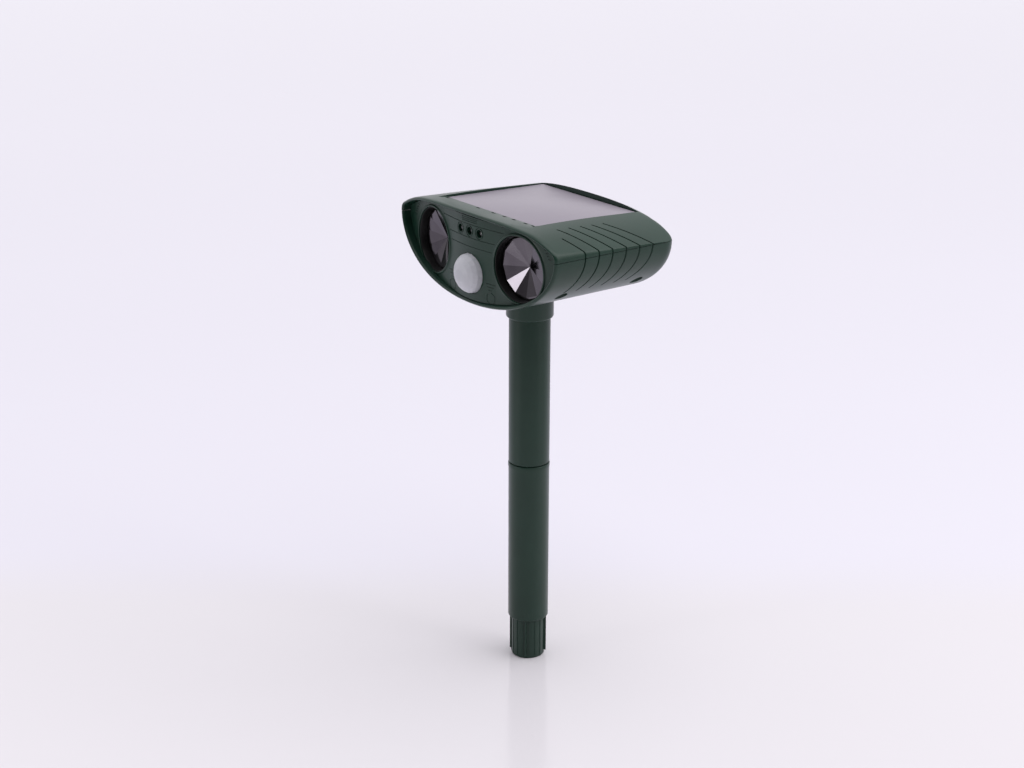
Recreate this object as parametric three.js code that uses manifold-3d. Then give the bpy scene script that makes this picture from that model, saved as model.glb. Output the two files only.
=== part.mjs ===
import * as THREE from 'three'
import { mergeVertices } from 'three/addons/utils/BufferGeometryUtils.js'
import Module from 'manifold-3d'

// Solar ultrasonic pest repeller on a two-piece pole. Millimetres, +Z up.
// The pole stands on the Z axis, the front face looks towards -Y and +X is the viewer's right.

const wasm = await Module()
wasm.setup()

// Pole: two equal tubes, each with a ribbed plug at its lower end.
const TUBE_RADIUS = 12
const TUBE_LENGTH = 99.1
const TUBE_WALL = 0.8
const TUBE_BEAD = 0.2
const PLUG_LENGTH = 25.6
const PLUG_INSET = 1.4
const PLUG_WALL = 1.2
const FIN_CLEARANCE = 0.2
const FIN_WIDTH = 0.9
const FIN_COUNT = 4
const FIN_START_DEG = 45
const JOINT_GAP = 0.3
const SWIVEL_CLEARANCE = 0.15

// Collar under the head: a skirt outside the tube and a spigot inside it.
const COLLAR_WALL = 1.55
const COLLAR_OVERLAP = 10.4
const COLLAR_EDGE_RADIUS = 1.2
const SPIGOT_CLEARANCE = 0.3
const SPIGOT_LENGTH = 22
const SPIGOT_WALL = 1.5
const BELLY_ABOVE_POLE = 4.8

// Head shell: one cross-section swept front to back, rounded at the rear.
// Heights that end in RISE count from the lowest line of the head.
const HALF_WIDTH = 72.5
const CROWN_RISE = 52.1
const WIDEST_RISE = 38.6
const CROWN_PULL = 52.5
const SHOULDER_RISE = 49.5
const CHEEK_RISE = 19.3
const BELLY_PULL = 47.3
const FRONT_Y = -43.2
const FRONT_BOW = 4.3
const REAR_Y = 48.8
const REAR_BOW = 2.1
const REAR_CORNER = 8
const REAR_TOP_ROUND = 11
const REAR_BOTTOM_ROUND = 9
const WALL = 2.2
const PARTING_RISE = 37.9
const GAP = 0.3
const CURVE_STEPS = 10

// Arched roof that comes down towards the rear and takes the shoulders with it.
const ROOF_Y = 42
const ROOF_RISE = 51.3
const ROOF_LEAN_DEG = 3
const ROOF_PULL = 30
const ROOF_SHOULDER_INSET = 20.5
const ROOF_SHOULDER_RISE = 49.6
const ROOF_OVERHANG = 1.5
const ROOF_END_RISE = 37.1

// Solar panel, sunk in the crown and leaning slightly to the rear.
const PANEL_HALF_WIDTH = 42.4
const PANEL_FRONT_Y = -27.1
const PANEL_BACK_Y = 41.9
const PANEL_FRONT_RISE = 49.9
const PANEL_DROP = 2
const PANEL_THICKNESS = 2.4
const PANEL_SEAL = 0.8
const TRAY_WALL = 1.8

// Side grooves, fanned from front to rear.
const GROOVE_COUNT = 6
const GROOVE_WIDTH = 0.9
const GROOVE_DEPTH = 0.7
const GROOVE_FIRST_Y = -18.8
const GROOVE_PITCH = 9.4
const GROOVE_FIRST_DEG = 27
const GROOVE_STEP_DEG = 2.6
const GROOVE_REACH = 21.5
const GROOVE_FIRST_REACH = 12.5
const GROOVE_BOTTOM_RISE = 17.1

// Face plate set back inside the shell's front edge.
const FACE_THICKNESS = 2.2
const FACE_TOE_DEG = 7.7
const FACE_NOSE_HALF = 14

// Sound horns, toed out with the face.
const HORN_X = 39.6
const HORN_Y = -37.9
const HORN_RISE = 27.5
const HORN_RADIUS = 18.7
const HORN_LIP = 1.5
const HORN_LIP_RISE = 0.9
const HORN_WALL_DEPTH = 4.4
const HORN_APEX_DEPTH = 8.8
const CONE_INSET = 1.4
const CONE_THICKNESS = 0.6
const DRIVER_RADIUS = 12
const DRIVER_DEPTH = 6

// Motion sensor window and indicator lamps on the centre line.
const LENS_RISE = 17.3
const LENS_RADIUS = 11.3
const LENS_BULGE = 7.8
const LENS_WALL = 0.8
const LAMP_RISE = 41.4
const LAMP_PITCH = 8.7
const LAMP_HOLE_RADIUS = 2.3
const LAMP_RADIUS = 1.9

// Screws that close the shell, in wells under the rounded edge.
const WELL_INSET = 15.5
const WELL_FRONT_Y = -23
const WELL_BACK_Y = 30
const WELL_RADIUS = 3.6
const BOSS_RADIUS = 5
const WELL_TOP_RISE = 23.3
const BOSS_TOP_RISE = 27.7
const SCREW_RADIUS = 1.5
const SCREW_HEAD_RADIUS = 2.9
const SCREW_HEAD_HEIGHT = 2

// Rechargeable cell across the head, behind the collar.
const CELL_RADIUS = 9.2
const CELL_LENGTH = 65
const CELL_DOOR_CLEARANCE = 1.6
const HOLDER_WALL = 1.6
const CELL_RISE = 16.9
const DOOR_END_MARGIN = 12.5
const DOOR_SIDE_MARGIN = 2.5
const DOOR_SCREW_INSET = 4
const DOOR_TOP_RISE = 12.4
const DOOR_SEAT_RISE = 8.6

// Controls on the rear wall.
const CONTROL_RISE = 23.1
const KNOB_X = -26
const KNOB_RADIUS = 8
const KNOB_HEIGHT = 6.5
const SWITCH_X = 26
const SWITCH_TRAVEL = 4
const COVER_WIDTH = 20
const COVER_HEIGHT = 13
const COVER_THICKNESS = 2
const PORT_WIDTH = 9.4
const PORT_HEIGHT = 5

const JOINT_Z = PLUG_LENGTH + TUBE_LENGTH
const UPPER_TOP_Z = JOINT_Z + JOINT_GAP + TUBE_LENGTH
const COLLAR_BOTTOM_Z = UPPER_TOP_Z - COLLAR_OVERLAP
const BELLY_Z = UPPER_TOP_Z + BELLY_ABOVE_POLE
const CROWN_Z = BELLY_Z + CROWN_RISE
const WIDEST_Z = BELLY_Z + WIDEST_RISE
const SHOULDER_Z = BELLY_Z + SHOULDER_RISE
const CHEEK_Z = BELLY_Z + CHEEK_RISE
const PARTING_Z = BELLY_Z + PARTING_RISE
const ROOF_Z = BELLY_Z + ROOF_RISE
const ROOF_SHOULDER_Z = BELLY_Z + ROOF_SHOULDER_RISE
const ROOF_END_Z = BELLY_Z + ROOF_END_RISE
const PANEL_FRONT_Z = BELLY_Z + PANEL_FRONT_RISE
const GROOVE_BOTTOM_Z = BELLY_Z + GROOVE_BOTTOM_RISE
const HORN_Z = BELLY_Z + HORN_RISE
const LENS_Z = BELLY_Z + LENS_RISE
const LAMP_Z = BELLY_Z + LAMP_RISE
const WELL_TOP_Z = BELLY_Z + WELL_TOP_RISE
const BOSS_TOP_Z = BELLY_Z + BOSS_TOP_RISE
const CELL_Z = BELLY_Z + CELL_RISE
const CONTROL_Z = BELLY_Z + CONTROL_RISE
const BORE_RADIUS = TUBE_RADIUS - TUBE_WALL
const PLUG_RADIUS = BORE_RADIUS - PLUG_INSET
const FIN_TIP_RADIUS = BORE_RADIUS - FIN_CLEARANCE
const COLLAR_RADIUS = TUBE_RADIUS + SWIVEL_CLEARANCE + COLLAR_WALL
const SPIGOT_RADIUS = BORE_RADIUS - SPIGOT_CLEARANCE
const SPIGOT_BORE = SPIGOT_RADIUS - SPIGOT_WALL
const CONE_RADIUS = HORN_RADIUS - CONE_INSET
const WELL_X = HALF_WIDTH - WELL_INSET
const DOOR_HALF_WIDTH = CELL_LENGTH / 2 + DOOR_END_MARGIN
const DOOR_HALF_DEPTH = CELL_RADIUS + DOOR_SIDE_MARGIN
const DOOR_SCREW_X = DOOR_HALF_WIDTH - DOOR_SCREW_INSET
const CELL_Y = COLLAR_RADIUS + CELL_DOOR_CLEARANCE + DOOR_HALF_DEPTH
const HOLDER_REAR_Y = CELL_Y + CELL_RADIUS + HOLDER_WALL
const ROOF_SHOULDER_X = HALF_WIDTH - ROOF_SHOULDER_INSET
const ROOF_END_X = HALF_WIDTH + ROOF_OVERHANG
const PANEL_DEPTH = PANEL_BACK_Y - PANEL_FRONT_Y
const PANEL_TILT = Math.atan(PANEL_DROP / PANEL_DEPTH)
const FACE_TOE = THREE.MathUtils.degToRad(FACE_TOE_DEG)
const FACE_SLOPE = Math.tan(FACE_TOE)
const FAR = 200
const UNDER_HEAD_Z = BELLY_Z - 29
const DOOR_TOP_Z = BELLY_Z + DOOR_TOP_RISE
const DOOR_SEAT_Z = BELLY_Z + DOOR_SEAT_RISE
const SHORTEST_EDGE = 0.006

// ---------- small helpers around the solid modeller ----------

function solid(geometry) {
  const bare = geometry.clone()
  bare.deleteAttribute('normal')
  bare.deleteAttribute('uv')
  const merged = mergeVertices(bare, 1e-4)
  return new wasm.Manifold(new wasm.Mesh({
    numProp: 3,
    vertProperties: new Float32Array(merged.attributes.position.array),
    triVerts: new Uint32Array(merged.index.array),
  }))
}

function box(x0, x1, y0, y1, z0, z1) {
  const block = new THREE.BoxGeometry(x1 - x0, y1 - y0, z1 - z0)
  block.translate((x0 + x1) / 2, (y0 + y1) / 2, (z0 + z1) / 2)
  return solid(block)
}

function rod(radius, x, y, z0, z1, sides = 24) {
  const bar = new THREE.CylinderGeometry(radius, radius, z1 - z0, sides)
  bar.rotateX(Math.PI / 2)
  bar.translate(x, y, (z0 + z1) / 2)
  return solid(bar)
}

function rodAlongY(radius, x, z, y0, y1, sides = 24) {
  const bar = new THREE.CylinderGeometry(radius, radius, y1 - y0, sides)
  bar.translate(x, (y0 + y1) / 2, z)
  return solid(bar)
}

function rodAlongX(radius, y, z, x0, x1, sides = 28) {
  const bar = new THREE.CylinderGeometry(radius, radius, x1 - x0, sides)
  bar.rotateZ(Math.PI / 2)
  bar.translate((x0 + x1) / 2, y, z)
  return solid(bar)
}

// Turns a closed profile of radius and height; it has to run anticlockwise to face outwards.
function turned(points, sides = 36) {
  const profile = points.map(([r, h]) => new THREE.Vector2(r, h))
  if (THREE.ShapeUtils.area(profile) < 0) {
    profile.reverse()
  }
  profile.push(profile[0].clone())
  return new THREE.LatheGeometry(profile, sides)
}

function turnedUpright(points, sides = 40) {
  return solid(turned(points, sides).rotateX(Math.PI / 2))
}

function sweepAlongY(shape, y0, y1) {
  const bar = new THREE.ExtrudeGeometry(shape, {
    depth: y1 - y0, bevelEnabled: false, curveSegments: CURVE_STEPS,
  })
  bar.rotateX(Math.PI / 2)
  bar.translate(0, y1, 0)
  return solid(bar)
}

function sweepAlongZ(shape, z0, z1) {
  const bar = new THREE.ExtrudeGeometry(shape, {
    depth: z1 - z0, bevelEnabled: false, curveSegments: CURVE_STEPS,
  })
  bar.translate(0, 0, z0)
  return solid(bar)
}

function sweepAlongX(shape, x0, x1) {
  const bar = new THREE.ExtrudeGeometry(shape, {
    depth: x1 - x0, bevelEnabled: false, curveSegments: 6,
  })
  bar.rotateX(Math.PI / 2)
  bar.rotateZ(Math.PI / 2)
  bar.translate(x0, 0, 0)
  return solid(bar)
}

function cutAll(body, tools) {
  return tools.reduce((rest, tool) => rest.subtract(tool), body)
}

function joinAll(parts) {
  return parts.reduce((sum, part) => sum.add(part))
}

// Where curved surfaces only touch, a cut can leave specks of no volume; this drops them.
function mainBody(shape) {
  const bodies = shape.decompose()
  return bodies.reduce((best, body) => (body.volume() > best.volume() ? body : best))
}

const part = new THREE.Group()
part.name = 'ultrasonic_pest_repeller'

function addNode(name, shape, look) {
  const mesh = shape.simplify(SHORTEST_EDGE).getMesh()
  const geometry = new THREE.BufferGeometry()
  geometry.setAttribute('position', new THREE.BufferAttribute(mesh.vertProperties, 3))
  geometry.setIndex(new THREE.BufferAttribute(mesh.triVerts, 1))
  geometry.computeVertexNormals()
  const material = new THREE.MeshStandardMaterial(look)
  const node = new THREE.Mesh(geometry, material)
  node.name = name
  part.add(node)
}

const GREEN = { color: 0x2f4238, roughness: 0.45, metalness: 0 }
const BLACK = { color: 0x141516, roughness: 0.5, metalness: 0 }
const RUBBER = { color: 0x1b1d1e, roughness: 0.9, metalness: 0 }
const METAL = { color: 0x9a9a9e, roughness: 0.2, metalness: 1 }
const STEEL = { color: 0xb4b4b0, roughness: 0.35, metalness: 1 }
const MILKY = { color: 0xe4e6ea, roughness: 0.4, metalness: 0 }
const CELL_BLUE = { color: 0x24304e, roughness: 0.25, metalness: 0 }
const SEAL = { color: 0x303336, roughness: 0.95, metalness: 0 }
const BOARD = { color: 0x1f5c3a, roughness: 0.6, metalness: 0 }
const LAMP = { color: 0xd8dce0, roughness: 0.2, metalness: 0 }
const WRAP = { color: 0x3f6fae, roughness: 0.4, metalness: 0 }
const GREY = { color: 0x6f7376, roughness: 0.55, metalness: 0 }

// ---------- pole ----------

function tubeProfile(z, endBead) {
  const top = z + PLUG_LENGTH + TUBE_LENGTH
  const seat = z + PLUG_LENGTH
  return [
    [0, z],
    [PLUG_RADIUS - 0.6, z],
    [PLUG_RADIUS, z + 0.6],
    [PLUG_RADIUS, seat],
    [TUBE_RADIUS - 0.7, seat],
    [TUBE_RADIUS - 0.2, seat + 0.2],
    [TUBE_RADIUS, seat + 0.8],
    [TUBE_RADIUS, top - 3],
    [TUBE_RADIUS + endBead, top - 2.4],
    [TUBE_RADIUS + endBead, top - 0.5],
    [TUBE_RADIUS - 0.35, top],
    [BORE_RADIUS + 0.15, top],
    [BORE_RADIUS, top - 0.3],
    [BORE_RADIUS, seat + 3.5],
    [PLUG_RADIUS - PLUG_WALL, seat + 1.4],
    [PLUG_RADIUS - PLUG_WALL, z + 1.5],
    [0, z + 1.5],
  ]
}

function plugFins(z) {
  const fins = []
  for (let i = 0; i < FIN_COUNT; i += 1) {
    const fin = new THREE.Shape()
    fin.moveTo(PLUG_RADIUS - 0.5, z + 0.9)
    fin.lineTo(FIN_TIP_RADIUS - 0.7, z + 0.9)
    fin.lineTo(FIN_TIP_RADIUS, z + 2.4)
    fin.lineTo(FIN_TIP_RADIUS, z + PLUG_LENGTH + 0.1)
    fin.lineTo(PLUG_RADIUS - 0.5, z + PLUG_LENGTH + 0.1)
    const plate = new THREE.ExtrudeGeometry(fin, { depth: FIN_WIDTH, bevelEnabled: false })
    plate.translate(0, 0, -FIN_WIDTH / 2)
    plate.rotateX(Math.PI / 2)
    plate.rotateZ(THREE.MathUtils.degToRad(FIN_START_DEG + (360 * i) / FIN_COUNT))
    fins.push(solid(plate))
  }
  return fins
}

function tube(z, endBead) {
  return joinAll([turnedUpright(tubeProfile(z, endBead)), ...plugFins(z)])
}

addNode('lower_tube', tube(0, TUBE_BEAD), GREEN)
addNode('upper_tube', tube(TUBE_LENGTH + JOINT_GAP, 0), GREEN)

// ---------- head shell ----------

// Cross-section drawn in X and Z, shrunk by inset all round.
function headSection(inset) {
  const w = HALF_WIDTH - inset
  const top = CROWN_Z - inset
  const low = BELLY_Z + inset
  const crownPull = (CROWN_PULL * w) / HALF_WIDTH
  const bellyPull = (BELLY_PULL * w) / HALF_WIDTH
  const shoulder = SHOULDER_Z - inset * 0.9
  const cheek = CHEEK_Z + inset * 0.5
  const shape = new THREE.Shape()
  shape.moveTo(0, low)
  shape.bezierCurveTo(bellyPull, low, w, cheek, w, WIDEST_Z)
  shape.bezierCurveTo(w, shoulder, crownPull, top, 0, top)
  shape.bezierCurveTo(-crownPull, top, -w, shoulder, -w, WIDEST_Z)
  shape.bezierCurveTo(-w, cheek, -bellyPull, low, 0, low)
  return shape
}

// Outline seen from above: bowed front and rear, straight sides and rounded rear corners.
function headPlan(inset, frontY) {
  const w = HALF_WIDTH - inset
  const r = REAR_CORNER - inset
  const rear = REAR_Y - REAR_BOW - inset
  const side = frontY + FRONT_BOW
  const shape = new THREE.Shape()
  shape.moveTo(-w, side)
  shape.quadraticCurveTo(0, 2 * frontY - side, w, side)
  shape.lineTo(w, rear - r)
  shape.absarc(w - r, rear - r, r, 0, Math.PI / 2)
  shape.quadraticCurveTo(0, rear + 2 * REAR_BOW, -w + r, rear)
  shape.absarc(-w + r, rear - r, r, Math.PI / 2, Math.PI)
  return shape
}

// Outline seen from the side, with the rounded rear edges.
function headSide(inset) {
  const top = CROWN_Z + 0.02 - inset
  const low = BELLY_Z - 0.5 + inset
  const rear = REAR_Y - inset
  const rt = REAR_TOP_ROUND - inset
  const rb = REAR_BOTTOM_ROUND - inset
  const shape = new THREE.Shape()
  shape.moveTo(-FAR, low)
  shape.lineTo(rear - rb, low)
  shape.absarc(rear - rb, low + rb, rb, -Math.PI / 2, 0)
  shape.absarc(rear - rt, top - rt, rt, 0, Math.PI / 2)
  shape.lineTo(-FAR, top)
  return shape
}

// The roof's arch, drawn where it passes over the panel's rear edge.
function roofArch(inset) {
  const top = ROOF_Z - inset
  const shoulderX = ROOF_SHOULDER_X - inset * 0.3
  const shoulderZ = ROOF_SHOULDER_Z - inset
  const endX = ROOF_END_X - inset * 0.8
  const endZ = ROOF_END_Z - inset * 0.6
  const shape = new THREE.Shape()
  shape.moveTo(-endX, 0)
  shape.lineTo(endX, 0)
  shape.lineTo(endX, endZ)
  shape.bezierCurveTo(shoulderX, shoulderZ, ROOF_PULL, top, 0, top)
  shape.bezierCurveTo(-ROOF_PULL, top, -shoulderX, shoulderZ, -endX, endZ)
  return shape
}

function roof(inset) {
  const bar = sweepAlongY(roofArch(inset), -FAR, FAR)
  return bar.translate([0, 0, -ROOF_Z])
    .rotate([-ROOF_LEAN_DEG, 0, 0])
    .translate([0, ROOF_Y, ROOF_Z])
}

function headForm(inset, frontY) {
  const swept = sweepAlongY(headSection(inset), frontY - 10, REAR_Y + 10)
  const planned = sweepAlongZ(headPlan(inset, frontY), BELLY_Z - 10, CROWN_Z + 10)
  const sided = sweepAlongX(headSide(inset), -FAR, FAR)
  return swept.intersect(planned).intersect(sided).intersect(roof(inset))
}

const outerForm = headForm(0, FRONT_Y)
const innerForm = headForm(WALL, FRONT_Y - 20)
const cavity = headForm(WALL + GAP, FRONT_Y - 20)
const above = box(-FAR, FAR, -FAR, FAR, PARTING_Z + GAP / 2, CROWN_Z + 20)
const below = box(-FAR, FAR, -FAR, FAR, 0, PARTING_Z - GAP / 2)

// Grooves are thin slabs that stop at a slightly smaller copy of the head.
function sideGrooves() {
  const core = headForm(GROOVE_DEPTH, FRONT_Y - 20)
  const slabs = []
  for (let i = 0; i < GROOVE_COUNT; i += 1) {
    const y = GROOVE_FIRST_Y + GROOVE_PITCH * i
    const angle = THREE.MathUtils.degToRad(GROOVE_FIRST_DEG + GROOVE_STEP_DEG * i)
    const reach = (i === 0 ? GROOVE_FIRST_REACH : GROOVE_REACH) / Math.cos(angle)
    const slab = new THREE.BoxGeometry(reach + 10, GROOVE_WIDTH, CROWN_Z - GROOVE_BOTTOM_Z + 4)
    slab.translate(5 - reach / 2, 0, (CROWN_Z + GROOVE_BOTTOM_Z + 4) / 2)
    slab.rotateZ(angle)
    slab.translate(HALF_WIDTH, y, 0)
    const right = solid(slab)
    slabs.push(right)
    slabs.push(right.mirror([1, 0, 0]))
  }
  return slabs.map((slab) => slab.subtract(core))
}

const grooves = sideGrooves()

// A block that lies in the leaning plane of the panel; heights count from its top surface.
function panelBlock(grow, lowest, highest) {
  const depth = Math.hypot(PANEL_DEPTH, PANEL_DROP)
  const block = new THREE.BoxGeometry(
    2 * (PANEL_HALF_WIDTH + grow), depth + 2 * grow, highest - lowest)
  block.translate(0, 0, (lowest + highest) / 2)
  block.rotateX(-PANEL_TILT)
  block.translate(0, (PANEL_FRONT_Y + PANEL_BACK_Y) / 2, PANEL_FRONT_Z - PANEL_DROP / 2)
  return solid(block)
}

const panelFloor = PANEL_THICKNESS + PANEL_SEAL + GAP
const wellSpots = []
for (const side of [-1, 1]) {
  for (const y of [WELL_FRONT_Y, WELL_BACK_Y]) {
    wellSpots.push([side * WELL_X, y])
  }
}

// Flat land from the front edge down to the panel.
function frontLand() {
  const land = new THREE.Shape()
  land.moveTo(FRONT_Y - 1, CROWN_Z + 0.1)
  land.lineTo(PANEL_FRONT_Y + 1, PANEL_FRONT_Z + 0.3)
  land.lineTo(PANEL_FRONT_Y + 1, CROWN_Z + 5)
  land.lineTo(FRONT_Y - 1, CROWN_Z + 5)
  return sweepAlongX(land, -PANEL_HALF_WIDTH - 0.4, PANEL_HALF_WIDTH + 0.4)
}

function topShell() {
  const skin = outerForm.subtract(innerForm)
  const tray = panelBlock(GAP + TRAY_WALL, -panelFloor - TRAY_WALL, 12).intersect(outerForm)
  const bosses = wellSpots.map(([x, y]) => (
    rod(4, x, y, BOSS_TOP_Z + GAP, CROWN_Z).intersect(outerForm)))
  const holes = wellSpots.map(([x, y]) => (
    rod(SCREW_RADIUS + GAP, x, y, BOSS_TOP_Z - 1, BOSS_TOP_Z + 9, 16)))
  const shell = skin.intersect(above)
  const body = joinAll([shell, tray.intersect(above), ...bosses])
  const pocket = panelBlock(GAP, -panelFloor, 12)
  const leadHole = rod(2.5, 20, 30, PARTING_Z, CROWN_Z, 16)
  return mainBody(cutAll(body, [pocket, frontLand(), leadHole, ...holes, ...grooves]))
}

function bottomShell() {
  const skin = outerForm.subtract(innerForm).intersect(below)
  const r = COLLAR_EDGE_RADIUS
  const bottom = COLLAR_BOTTOM_Z
  const slotTop = UPPER_TOP_Z + JOINT_GAP
  const slotInner = SPIGOT_RADIUS
  const slotOuter = TUBE_RADIUS + SWIVEL_CLEARANCE
  const collar = turnedUpright([
    [SPIGOT_BORE, bottom - SPIGOT_LENGTH + COLLAR_OVERLAP],
    [SPIGOT_RADIUS - 0.6, bottom - SPIGOT_LENGTH + COLLAR_OVERLAP],
    [SPIGOT_RADIUS, bottom - SPIGOT_LENGTH + COLLAR_OVERLAP + 0.8],
    [slotInner, slotTop],
    [slotOuter, slotTop],
    [slotOuter, bottom],
    [COLLAR_RADIUS - r, bottom],
    [COLLAR_RADIUS - r * 0.3, bottom + r * 0.3],
    [COLLAR_RADIUS, bottom + r],
    [COLLAR_RADIUS, BELLY_Z + 9],
    [SPIGOT_BORE, BELLY_Z + 9],
  ])
  const bosses = wellSpots.map(([x, y]) => (
    rod(BOSS_RADIUS, x, y, BELLY_Z, BOSS_TOP_Z).intersect(outerForm)))
  const wells = wellSpots.map(([x, y]) => rod(WELL_RADIUS, x, y, UNDER_HEAD_Z, WELL_TOP_Z))
  const holes = wellSpots.map(([x, y]) => (
    rod(SCREW_RADIUS + GAP, x, y, UNDER_HEAD_Z, BOSS_TOP_Z + 1, 16)))
  const doorPosts = [-DOOR_SCREW_X, DOOR_SCREW_X].map((x) => (
    box(x - 3.5, x + 3.5, CELL_Y - DOOR_HALF_DEPTH - 2.3, CELL_Y + DOOR_HALF_DEPTH + 2.3,
      BELLY_Z, DOOR_TOP_Z + 4.6).intersect(outerForm)))
  const doorHoles = [-DOOR_SCREW_X, DOOR_SCREW_X].map((x) => (
    rod(1.5, x, CELL_Y, UNDER_HEAD_Z, DOOR_TOP_Z + 6, 16)))
  const doorway = box(
    -DOOR_HALF_WIDTH - GAP, DOOR_HALF_WIDTH + GAP,
    CELL_Y - DOOR_HALF_DEPTH - GAP, CELL_Y + DOOR_HALF_DEPTH + GAP,
    UNDER_HEAD_Z, DOOR_TOP_Z)
  const bore = rod(SPIGOT_BORE, 0, 0, UNDER_HEAD_Z - 50, BELLY_Z + 20, 48)
  const rearHoles = [
    rodAlongY(3.3, KNOB_X, CONTROL_Z, REAR_Y - 10, REAR_Y + 10),
    box(SWITCH_X - 2.4, SWITCH_X + 2.4 + SWITCH_TRAVEL,
      REAR_Y - 10, REAR_Y + 10, CONTROL_Z - 2.3, CONTROL_Z + 2.3),
    box(-PORT_WIDTH / 2 - 0.6, PORT_WIDTH / 2 + 0.6,
      REAR_Y - 10, REAR_Y + 10, CONTROL_Z - PORT_HEIGHT / 2 - 0.6, CONTROL_Z + PORT_HEIGHT / 2 + 0.6),
  ]
  const body = joinAll([skin, ...bosses, ...doorPosts])
  const full = cutAll(body, [doorway, bore]).add(collar)
  return mainBody(cutAll(full, [...wells, ...holes, ...doorHoles, ...rearHoles, ...grooves]))
}

addNode('top_shell', topShell(), GREEN)
addNode('bottom_shell', bottomShell(), GREEN)

// ---------- solar panel and its seal ----------

addNode('solar_panel', panelBlock(0, -PANEL_THICKNESS, 0), CELL_BLUE)
addNode('panel_seal', panelBlock(0, -PANEL_THICKNESS - PANEL_SEAL, -PANEL_THICKNESS - 0.05)
  .subtract(panelBlock(-4, -8, 8)), SEAL)

// ---------- face plate ----------

function facePlan(setBack, thickness) {
  const y = (x) => HORN_Y + (x - HORN_X) * FACE_SLOPE + setBack
  const noseRadius = FACE_NOSE_HALF / Math.sin(FACE_TOE)
  const noseY = y(FACE_NOSE_HALF) + noseRadius * Math.cos(FACE_TOE)
  const shape = new THREE.Shape()
  shape.moveTo(-HALF_WIDTH, y(HALF_WIDTH))
  shape.absarc(0, noseY, noseRadius, -Math.PI / 2 - FACE_TOE, -Math.PI / 2 + FACE_TOE)
  shape.lineTo(HALF_WIDTH, y(HALF_WIDTH))
  shape.lineTo(HALF_WIDTH, y(HALF_WIDTH) + thickness)
  shape.absarc(0, noseY, noseRadius - thickness, -Math.PI / 2 + FACE_TOE,
    -Math.PI / 2 - FACE_TOE, true)
  shape.lineTo(-HALF_WIDTH, y(HALF_WIDTH) + thickness)
  return shape
}

// Puts a turned shape on a horn's axis: height 0 is the face plane and +height comes out of it.
function onHorn(points, side, sides = 36) {
  const geometry = turned(points, sides)
  geometry.rotateZ(Math.PI + side * FACE_TOE)
  geometry.translate(side * HORN_X, HORN_Y, HORN_Z)
  return solid(geometry)
}

function onCentreLine(points, y, z, sides = 32) {
  const geometry = turned(points, sides)
  geometry.rotateZ(Math.PI)
  geometry.translate(0, y, z)
  return solid(geometry)
}

const FACE_NOSE_Y = HORN_Y + (FACE_NOSE_HALF - HORN_X) * FACE_SLOPE
  - (FACE_NOSE_HALF / Math.sin(FACE_TOE)) * (1 - Math.cos(FACE_TOE))

function facePlate() {
  const band = sweepAlongZ(facePlan(0, FACE_THICKNESS), BELLY_Z - 5, CROWN_Z + 5)
  const blank = band.intersect(cavity)
  const lips = [-1, 1].map((side) => onHorn([
    [HORN_RADIUS - 0.5, -1.5],
    [HORN_RADIUS - 0.5, HORN_LIP_RISE * 0.5],
    [HORN_RADIUS + 0.2, HORN_LIP_RISE],
    [HORN_RADIUS + HORN_LIP * 0.6, HORN_LIP_RISE * 0.85],
    [HORN_RADIUS + HORN_LIP, 0],
    [HORN_RADIUS + HORN_LIP, -1.5],
  ], side).intersect(cavity))
  const mouths = [-1, 1].map((side) => onHorn([
    [0, -10],
    [HORN_RADIUS, -10],
    [HORN_RADIUS, 10],
    [0, 10],
  ], side))
  const lensHole = rodAlongY(LENS_RADIUS + 0.2, 0, LENS_Z, -60, 0, 40)
  const lampHoles = [-1, 0, 1].map((i) => (
    rodAlongY(LAMP_HOLE_RADIUS, i * LAMP_PITCH, LAMP_Z, -60, 0, 20)))
  return cutAll(joinAll([blank, ...lips]), [...mouths, lensHole, ...lampHoles])
}

addNode('face_plate', facePlate(), GREEN)

// ---------- horns: cup, reflector cone and driver on each side ----------

for (const side of [-1, 1]) {
  const word = side < 0 ? 'left' : 'right'
  const cup = HORN_RADIUS - GAP
  const back = -FACE_THICKNESS - GAP
  addNode(`horn_cup_${word}`, onHorn([
    [CONE_RADIUS + GAP, -HORN_WALL_DEPTH],
    [cup - 0.3, 0.2],
    [cup, -0.1],
    [cup, back],
    [HORN_RADIUS + 1.1, back],
    [HORN_RADIUS + 1.1, -HORN_WALL_DEPTH - 1.2],
    [DRIVER_RADIUS + 2, -HORN_WALL_DEPTH - 5.6],
    [DRIVER_RADIUS + 2, -HORN_APEX_DEPTH - 3],
    [DRIVER_RADIUS + GAP, -HORN_APEX_DEPTH - 3],
    [DRIVER_RADIUS + GAP, -HORN_APEX_DEPTH + 1],
    [CONE_RADIUS + GAP, -HORN_WALL_DEPTH - 1.6],
  ], side).intersect(cavity), BLACK)
  addNode(`horn_cone_${word}`, onHorn([
    [0, -HORN_APEX_DEPTH],
    [1.1, -HORN_APEX_DEPTH],
    [CONE_RADIUS, -HORN_WALL_DEPTH - GAP],
    [CONE_RADIUS, -HORN_WALL_DEPTH - GAP - CONE_THICKNESS],
    [1.1, -HORN_APEX_DEPTH - CONE_THICKNESS],
    [0, -HORN_APEX_DEPTH - CONE_THICKNESS],
  ], side), METAL)
  addNode(`driver_${word}`, onHorn([
    [0, -HORN_APEX_DEPTH - CONE_THICKNESS - GAP],
    [2.5, -HORN_APEX_DEPTH - CONE_THICKNESS - GAP],
    [2.5, -HORN_APEX_DEPTH - CONE_THICKNESS - GAP - 0.8],
    [DRIVER_RADIUS, -HORN_APEX_DEPTH - CONE_THICKNESS - GAP - 0.8],
    [DRIVER_RADIUS, -HORN_APEX_DEPTH - CONE_THICKNESS - DRIVER_DEPTH],
    [0, -HORN_APEX_DEPTH - CONE_THICKNESS - DRIVER_DEPTH],
  ], side, 32), GREY)
}

// ---------- motion sensor and lamps ----------

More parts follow.
